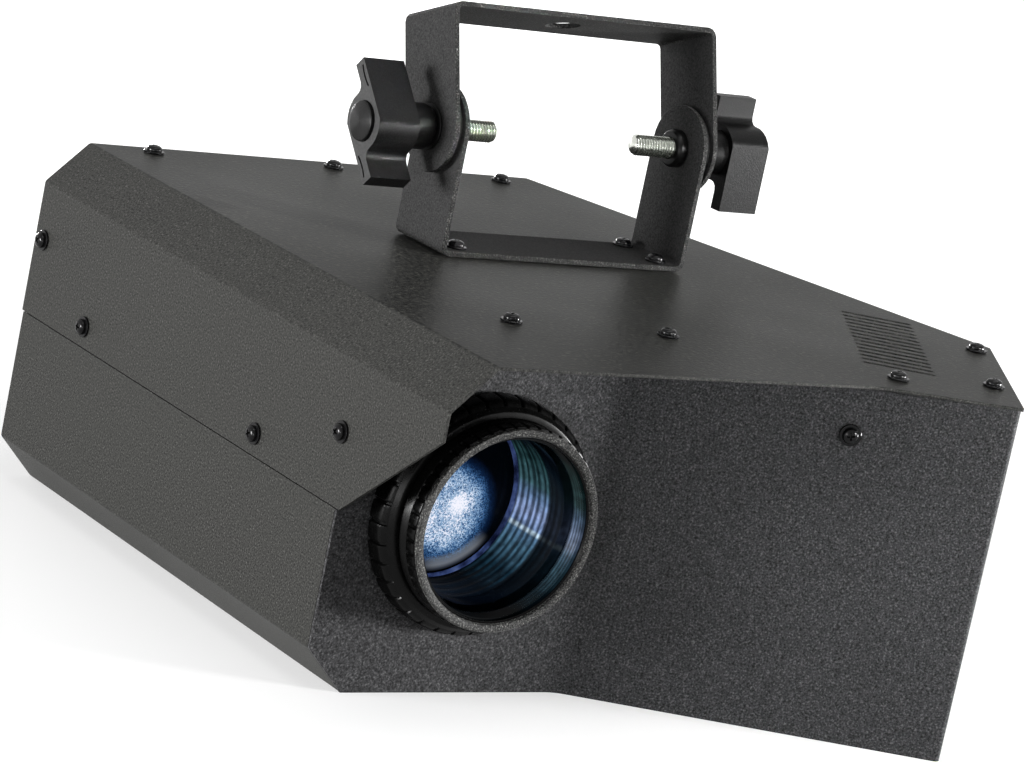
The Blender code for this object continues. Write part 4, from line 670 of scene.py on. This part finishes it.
def add_stud(side, place, material, root):
    """M8 stud: a 1.25 mm pitch thread wound with the spin's own climb, cut flat and chamfered at the tip."""
    pitch = 0.00125
    root_radius = 0.0034
    root_end = 0.00368
    tip_radius = 0.0031
    flat_tip = 0.0006
    steps = 24
    turns = int((STUD_END - STUD_TIP) / pitch) + 3
    shape = bmesh.new()
    line = [(root_radius, 0.0), (0.0039, 0.00042), (0.0040, 0.00050), (0.0040, 0.00062), (0.0039, 0.00070),
            (root_radius, 0.00112), (root_radius, pitch)]
    verts = [shape.verts.new((radius, 0, height)) for radius, height in line]
    edges = [shape.edges.new(pair) for pair in zip(verts, verts[1:])]
    bmesh.ops.spin(shape, geom=verts + edges, cent=(0, 0, 0), axis=(0, 0, 1), dvec=(0, 0, pitch / steps),
                   angle=2 * math.pi * turns, steps=steps * turns, use_merge=False, use_duplicate=False)
    bmesh.ops.translate(shape, verts=shape.verts, vec=(0, 0, STUD_TIP - 2 * pitch))
    bmesh.ops.remove_doubles(shape, verts=shape.verts, dist=2e-5)
    for level, normal in ((STUD_TIP, (0, 0, -1)), (STUD_END, (0, 0, 1))):
        bmesh.ops.bisect_plane(shape, geom=shape.verts[:] + shape.edges[:] + shape.faces[:], dist=1e-7,
                               plane_co=(0, 0, level), plane_no=normal, clear_outer=True)
        rim = [edge for edge in shape.edges if edge.is_boundary]
        bmesh.ops.holes_fill(shape, edges=rim, sides=0)
    for vert in shape.verts:
        radius = math.hypot(vert.co.x, vert.co.y)
        most = tip_radius + (vert.co.z - STUD_TIP)
        if radius > most:
            vert.co.x *= most / radius
            vert.co.y *= most / radius
    bmesh.ops.recalc_face_normals(shape, faces=shape.faces)
    # Faces in the thread's root take the second finish, the painted shade
    for face in shape.faces:
        middle = face.calc_center_median()
        at_end = middle.z < STUD_TIP + flat_tip or abs(face.normal.z) > 0.99
        if math.hypot(middle.x, middle.y) < root_end and not at_end:
            face.material_index = 1
    bmesh.ops.transform(shape, matrix=place, verts=shape.verts)
    piece = add_piece(f"knob_stud_{side}_threaded", shape, material, 50)
    piece.data.materials.append(root)
    stand_for(piece, f"knob_stud_{side}")


def in_wing_slot(point):
    """True for a point in the knob's own frame that belongs to a wing's thin slot."""
    return 0.0054 < abs(point.y) < 0.0086 and 0.0105 < abs(point.x) < 0.0172


def add_knob(side, place, nylon, face_nylon_painted_light):
    """The knob's outline edges are a little round; its thin slots and the cap's seat stay crisp."""
    seat_radius = 0.0080
    face_depth = 0.0004
    node = f"clamp_knob_{side}"
    shape = copied(node)
    bmesh.ops.transform(shape, matrix=place.inverted(), verts=shape.verts)
    outline = []
    for edge in hard_edges(shape, 35):
        ends = [vert.co for vert in edge.verts]
        in_seat = max(math.hypot(end.x, end.y) for end in ends) < seat_radius
        if not in_seat and not all(in_wing_slot(end) for end in ends):
            outline.append(edge)
    rounded(shape, outline, width=0.00025, segments=2, clamp=True)
    # The flat outer face takes the lighter nylon, which is painted light
    for face in shape.faces:
        middle = face.calc_center_median()
        if middle.z > KNOB_FACE - face_depth and face.normal.z > 0.5:
            face.material_index = 1
    bmesh.ops.transform(shape, matrix=place, verts=shape.verts)
    piece = add_piece(node + "_moulded", shape, nylon, 60)
    piece.data.materials.append(face_nylon_painted_light)
    stand_for(keep_faces_flat(piece), node)


def add_clamp(side, place, finishes):
    """One side's stud, nut, friction disc, washer, knob and cap."""
    add_stud(side, place, finishes["zinc"], finishes["root"])
    add_knob(side, place, finishes["nylon"], finishes["nylon_face"])
    stand_for(turned(f"knob_cap_{side}_spun", [
        (0, CAP_TOP), (0.0068, CAP_TOP), (0.0071, CAP_TOP - 0.0001), (0.0073, CAP_TOP - 0.0003),
        (0.0073, CAP_SEAT + 0.0003), (0, CAP_SEAT + 0.0003)], 64, finishes["cap"], place), f"knob_cap_{side}")
    stand_for(turned(f"friction_washer_{side}_disc", [
        (CLEAR_HOLE, DISC_INNER), (0.0147, DISC_INNER), (0.0150, DISC_INNER + 0.0003),
        (0.0150, DISC_OUTER - 0.0003), (0.0147, DISC_OUTER), (CLEAR_HOLE, DISC_OUTER)],
        72, finishes["fibre"], place), f"friction_washer_{side}")
    stand_for(turned(f"knob_washer_{side}_disc", [
        (CLEAR_HOLE, WASHER_INNER), (0.0083, WASHER_INNER), (0.0085, WASHER_INNER + 0.0002),
        (0.0085, WASHER_OUTER - 0.0002), (0.0083, WASHER_OUTER), (CLEAR_HOLE, WASHER_OUTER)],
        56, finishes["washer"], place), f"knob_washer_{side}")
    stand_for(turned(f"pivot_nut_{side}_boss", [
        (CLEAR_HOLE, NUT_OUTER), (0.0070, NUT_OUTER), (0.0072, NUT_OUTER - 0.0002),
        (0.0072, NUT_OUTER - 0.0024), (0.0069, NUT_INNER + 0.0008), (0.0062, NUT_INNER + 0.0001),
        (0.0052, NUT_INNER), (CLEAR_HOLE, NUT_INNER)],
        56, finishes["satin"], place), f"pivot_nut_{side}")


# Lens

def add_focus_ring(material):
    """Ribbed ring: 36 pads with narrow grooves between them that run out where a smooth cone begins."""
    shape = turned_shape([
        (0.0403, 0.0009), (0.0430, 0.0009), (0.0434, 0.0013), (0.0434, 0.0030), (0.0432, 0.0055),
        (0.0429, 0.0072), (0.0424, 0.0081), (0.0416, 0.0088), (0.0409, 0.0092), (0.0406, 0.0094),
        (0.0395, 0.0108), (0.0391, 0.0110), (0.0373, 0.0110), (0.0373, 0.0083), (0.0403, 0.0083)],
        RIBS * 20, Matrix.Identity(4))
    sink_grooves(shape, RIBS, low=0.0, high=0.0091, radius=0.0404, depth=0.0009,
                 bottom=0.11, top=0.21, fade=0.0003)
    first = Matrix.Rotation(math.radians(3.7), 4, 'Z')
    bmesh.ops.transform(shape, matrix=LENS_AXIS @ first, verts=shape.verts)
    stand_for(add_piece("focus_ring_ribbed", shape, material, 30), "focus_ring")


def add_front_ring(grip, rim):
    """Knurled band, and the coarse rim in front of it."""
    rim_start = 0.0208
    shape = turned_shape([
        (0.0353, 0.0158), (0.0370, 0.0158), (0.0373, 0.0161), (0.0373, 0.0200), (0.0371, 0.0205),
        (0.0366, 0.0207), (0.0366, 0.0210), (0.0366, 0.0216), (0.0363, 0.0220), (0.0341, 0.0220),
        (0.0338, 0.0218), (0.0335, 0.0208), (0.0329, 0.0204), (0.0329, 0.0198), (0.0353, 0.0198)],
        KNURLS * 12, Matrix.Identity(4))
    sink_grooves(shape, KNURLS, low=0.0159, high=0.0206, radius=0.0369, depth=0.0007,
                 bottom=0.17, top=0.34, fade=0.0002)
    bmesh.ops.transform(shape, matrix=LENS_AXIS, verts=shape.verts)
    piece = add_piece("front_ring_knurled", shape, grip, 45)
    give_second_finish(piece, rim, lambda face: LENS_FACE_Y - face.center.y > rim_start)
    stand_for(piece, "front_ring")


def lens_reach(face):
    """How far a face's middle lies from the lens axis."""
    return math.hypot(face.center.x - LENS_X, face.center.z - LENS_Z)


def add_barrel(plastic, bore):
    """The sliding tube: its wall has shallow steps every 5.8 mm that break up stray light."""
    bore_radius, bore_start, step_length = 0.0310, -0.0205, 0.0058
    # Faces nearer to the axis or further to the front than these belong to the bore
    wall_middle, thread_start = 0.0345, 0.0157
    profile = [(0.0336, 0.0195), (0.0350, 0.0195), (0.0350, 0.0155), (0.0368, 0.0155), (0.0370, 0.0153),
               (0.0370, -0.0258), (0.0368, -0.0260), (0.0333, -0.0260), (0.0333, bore_start),
               (bore_radius, bore_start)]
    for step in range(4):
        level = bore_start + step_length * step
        profile += [(bore_radius, level + 0.0002), (0.0307, level + 0.0012), (0.0306, level + 0.0030),
                    (0.0308, level + 0.0050), (bore_radius, level + 0.0057)]
    profile += [(bore_radius, 0.0090), (0.0336, 0.0090)]
    piece = turned("lens_barrel_tube", profile, 240, plastic, LENS_AXIS, 50)
    give_second_finish(piece, bore, lambda face: (
        lens_reach(face) < wall_middle or face.center.y < LENS_FACE_Y - thread_start))
    stand_for(piece, "lens_barrel")


def add_retaining_ring(material):
    """Threaded ring that holds the front glass."""
    inside, pitch = 0.0322, 0.0008
    profile = [(inside, 0.0130)]
    for turn in range(7):
        profile += [(inside, 0.0134 + pitch * turn), (0.0325, 0.0137 + pitch * turn)]
    profile += [(inside, 0.0192), (0.0334, 0.0192), (0.0334, 0.0126), (0.0326, 0.0124)]
    piece = turned("front_lens_retainer", profile, 96, material, LENS_AXIS, 30)
    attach(piece, BODY_OF["lens_barrel"])


def domed_glass(radius, low, edge, apex, steps=13):
    """Profile of a glass that is flat at its low level and domed from its edge to its apex."""
    rise = apex - edge
    curve = (radius ** 2 + rise ** 2) / (2 * rise)
    reaches = [radius * step / steps for step in range(steps + 1)]
    dome = [(reach, apex - curve + math.sqrt(curve ** 2 - reach ** 2)) for reach in reaches]
    return dome + [(radius, low), (0, low)]


def add_lenses(clear, lit, edge):
    """The clear glass in front and the frosted one at the back of the tube, with its coated edge; the frosted
    glass and its edge carry painted glows.
    """
    edge_start = 0.0302
    front = domed_glass(radius=0.0333, low=0.0093, edge=0.0120, apex=0.0145)
    rear = domed_glass(radius=0.0330, low=-0.0257, edge=-0.0230, apex=-0.0207)
    stand_for(turned("front_lens_glass", front, 96, clear, LENS_AXIS), "front_lens")
    piece = turned("rear_lens_glass", rear, 96, lit, LENS_AXIS)
    give_second_finish(piece, edge, lambda face: lens_reach(face) > edge_start)
    stand_for(piece, "rear_lens")


# Room, light and camera

def seen_surroundings(tree):
    """1 for rays from the camera, off a mirror or through glass, and 0 for rays that light the object."""
    path = add(tree, 'ShaderNodeLightPath')
    seen = path.outputs["Is Camera Ray"]
    for ray in ("Is Glossy Ray", "Is Transmission Ray"):
        seen = add(tree, 'ShaderNodeMath', {0: seen, 1: path.outputs[ray]}, operation='MAXIMUM').outputs[0]
    return seen


def add_floor():
    """A white floor that keeps the soft shadow, is painted darker near the object and runs out into the white
    surroundings.
    """
    shape = bmesh.new()
    bmesh.ops.create_grid(shape, x_segments=1, y_segments=1, size=6.0)
    material, tree, place = start_material("white_studio_floor")
    far = add(tree, 'ShaderNodeVectorMath', {0: place}, operation='LENGTH').outputs["Value"]
    # Seen rays find a glow that is weaker near the object's middle: painted shade round the object, fading
    # out by 1 m
    glow_painted_darker_near_middle = add(tree, 'ShaderNodeMapRange', {
        "Value": far, "From Min": 0.3, "From Max": 1.0, "To Min": 0.52, "To Max": 0.88}).outputs["Result"]
    strength = add(tree, 'ShaderNodeMath', {
        0: seen_surroundings(tree), 1: glow_painted_darker_near_middle}, operation='MULTIPLY').outputs[0]
    surface = add(tree, 'ShaderNodeBsdfPrincipled', {
        "Base Color": linear("#c0c0c0"), "Roughness": 0.9, "Specular IOR Level": 0.0,
        "Emission Color": linear("#ffffff"), "Emission Strength": strength})
    add(tree, 'ShaderNodeOutputMaterial', {"Surface": surface.outputs["BSDF"]})
    add_piece("studio_floor", shape, material)


def set_world():
    """White surroundings, weaker as a light source than they look."""
    world = bpy.data.worlds.new("studio")
    bpy.context.scene.world = world
    world.use_nodes = True
    tree = world.node_tree
    tree.nodes.clear()
    strength = add(tree, 'ShaderNodeMapRange', {
        "Value": seen_surroundings(tree), "To Min": 0.35, "To Max": 1.0}).outputs["Result"]
    sky = add(tree, 'ShaderNodeBackground', {"Color": linear("#ffffff"), "Strength": strength})
    add(tree, 'ShaderNodeOutputWorld', {"Surface": sky.outputs["Background"]})


def add_lamp(name, place, target, size, power, spread=180, turn=0):
    """A rectangular softbox, turned about its own beam and aimed at a point of the object.

    Its spread in degrees is narrowed as by a grid.
    """
    light = bpy.data.lights.new(name, 'AREA')
    light.shape = 'RECTANGLE'
    light.size, light.size_y = size
    light.energy = power
    light.spread = math.radians(spread)
    lamp = bpy.data.objects.new(name, light)
    bpy.context.scene.collection.objects.link(lamp)
    away = Vector(place) - Vector(target)
    aim = away.to_track_quat('Z', 'Y').to_matrix().to_4x4()
    lamp.matrix_world = Matrix.Translation(place) @ aim @ Matrix.Rotation(math.radians(turn), 4, 'Z')


def add_camera():
    """The photograph's viewpoint, found from the housing's own corners and edges."""
    place = (-0.91562, -1.27567, 0.43851)
    forward = Vector((0.56851424, 0.79247825, -0.22083883)).normalized()
    lean = math.radians(20.406)
    focal_pixels, width_pixels, sensor_mm = 4286.52, 1024, 36.0
    right = forward.cross(Vector((0, math.sin(lean), math.cos(lean)))).normalized()
    up = right.cross(forward)
    camera = bpy.data.cameras.new("photo_view")
    camera.sensor_fit = 'HORIZONTAL'
    camera.sensor_width = sensor_mm
    camera.lens = focal_pixels / width_pixels * sensor_mm
    camera.clip_start = 0.05
    camera.clip_end = 50.0
    viewer = bpy.data.objects.new("photo_view", camera)
    bpy.context.scene.collection.objects.link(viewer)
    turn = Matrix((right, up, -forward)).transposed().to_4x4()
    viewer.matrix_world = Matrix.Translation(place) @ turn
    bpy.context.scene.camera = viewer


def paint(material, *nodes):
    """A CAD node that stays gets a real finish."""
    for node in nodes:
        mesh = NODES[node].data
        mesh.materials.clear()
        mesh.materials.append(material)


def build():
    """The whole scene: materials, pieces, room, lamps and camera."""
    powder = powder_coated_steel()
    bar = powder_coated_bar()
    bar_edge = powder_edge_painted_highlight()
    finishes = {
        "zinc": zinc_plated_steel(), "root": thread_root_painted_shade(), "nylon": spark_textured_nylon(),
        "nylon_face": knob_face_painted_light(), "cap": spun_anodised_cap(), "washer": dull_oxide_washer(),
        "fibre": fibre_disc(), "satin": satin_abs()}
    gloss = polished_abs()
    glass = coated_glass()
    for node in ("base_tray", "rear_panel"):
        finish_node(node, powder)
    finish_cover(powder, powder_coated_top())
    finish_node("front_panel", powder_front_painted_light())
    finish_bar("lower_bracket", bar, bar_edge, BRACKET_MIDDLE, 0.0)
    finish_bar("upper_yoke", bar, bar_edge, YOKE_MIDDLE, YOKE_LEAN)
    add_screws(black_oxide_steel())
    add_clamp("right", RIGHT_AXIS, finishes)
    add_clamp("left", LEFT_AXIS, finishes)
    add_focus_ring(gloss)
    add_front_ring(gloss, coarse_wrinkle_paint())
    # The tube's bore and the retainer's thread carry painted LED light and a painted reflection line
    add_barrel(gloss, bore_painted_lamp_light(
        "bore_painted_lamp_light", ring_mm=3.5, deep=0.0215, shallow=0.0, strength=0.9, mirror="#d8f4ff"))
    add_retaining_ring(bore_painted_lamp_light(
        "thread_painted_lamp_light", ring_mm=1.6, deep=-0.0125, shallow=-0.0185, strength=0.5, mirror="#6f93b4"))
    add_lenses(glass, frosted_glass_painted_glow(), edge_painted_blue_glow())
    paint(finishes["satin"], "lens_mount", "fan_frame", "fan_rotor", "mains_inlet", "dmx_input", "dmx_output",
          *(f"menu_button_{index}" for index in range(1, 5)))
    paint(mill_finish_aluminium(), "engine_plate", "heat_sink")
    paint(finishes["zinc"], "gobo_motor", "safety_eye", "power_supply")
    paint(rolled_steel(), "gobo_wheel")
    paint(solder_mask(), "control_board")
    paint(white_ceramic(), "led_module")
    paint(glass, "condenser_lens")
    paint(smoked_acrylic(), "display_panel")
    add_floor()
    set_world()
    add_lamp("top_strip", (-0.02, -0.33, 1.3), (-0.02, -0.33, 0.1), (1.5, 0.25), 6, turn=17)
    add_lamp("left_softbox", (-1.7, 0.1, 0.17), (-0.1, 0, 0.1), (0.6, 0.3), 54)
    add_lamp("right_softbox", (1.8, -1.10, 0.15), (0, -0.1, 0.08), (0.4, 0.4), 150)
    add_lamp("wing_softbox", (0.3, -1.2, 0.4), (0.13, -0.18, 0.13), (0.25, 0.25), 0.30, spread=13)
    add_lamp("low_left_softbox", (-0.9, -0.8, 0.12), (-0.1, -0.05, 0.02), (0.4, 0.15), 3.5)
    add_lamp("knob_softbox", (1.0, -1.35, 0.85), (-0.07, -0.01, 0.18), (0.08, 0.08), 0.06, spread=4)
    add_lamp("back_softbox", (0.4, 1.8, 0.07), (0, 0, 0.07), (0.8, 0.1), 60)
    add_camera()
    bpy.context.scene.view_settings.view_transform = 'Standard'


build()
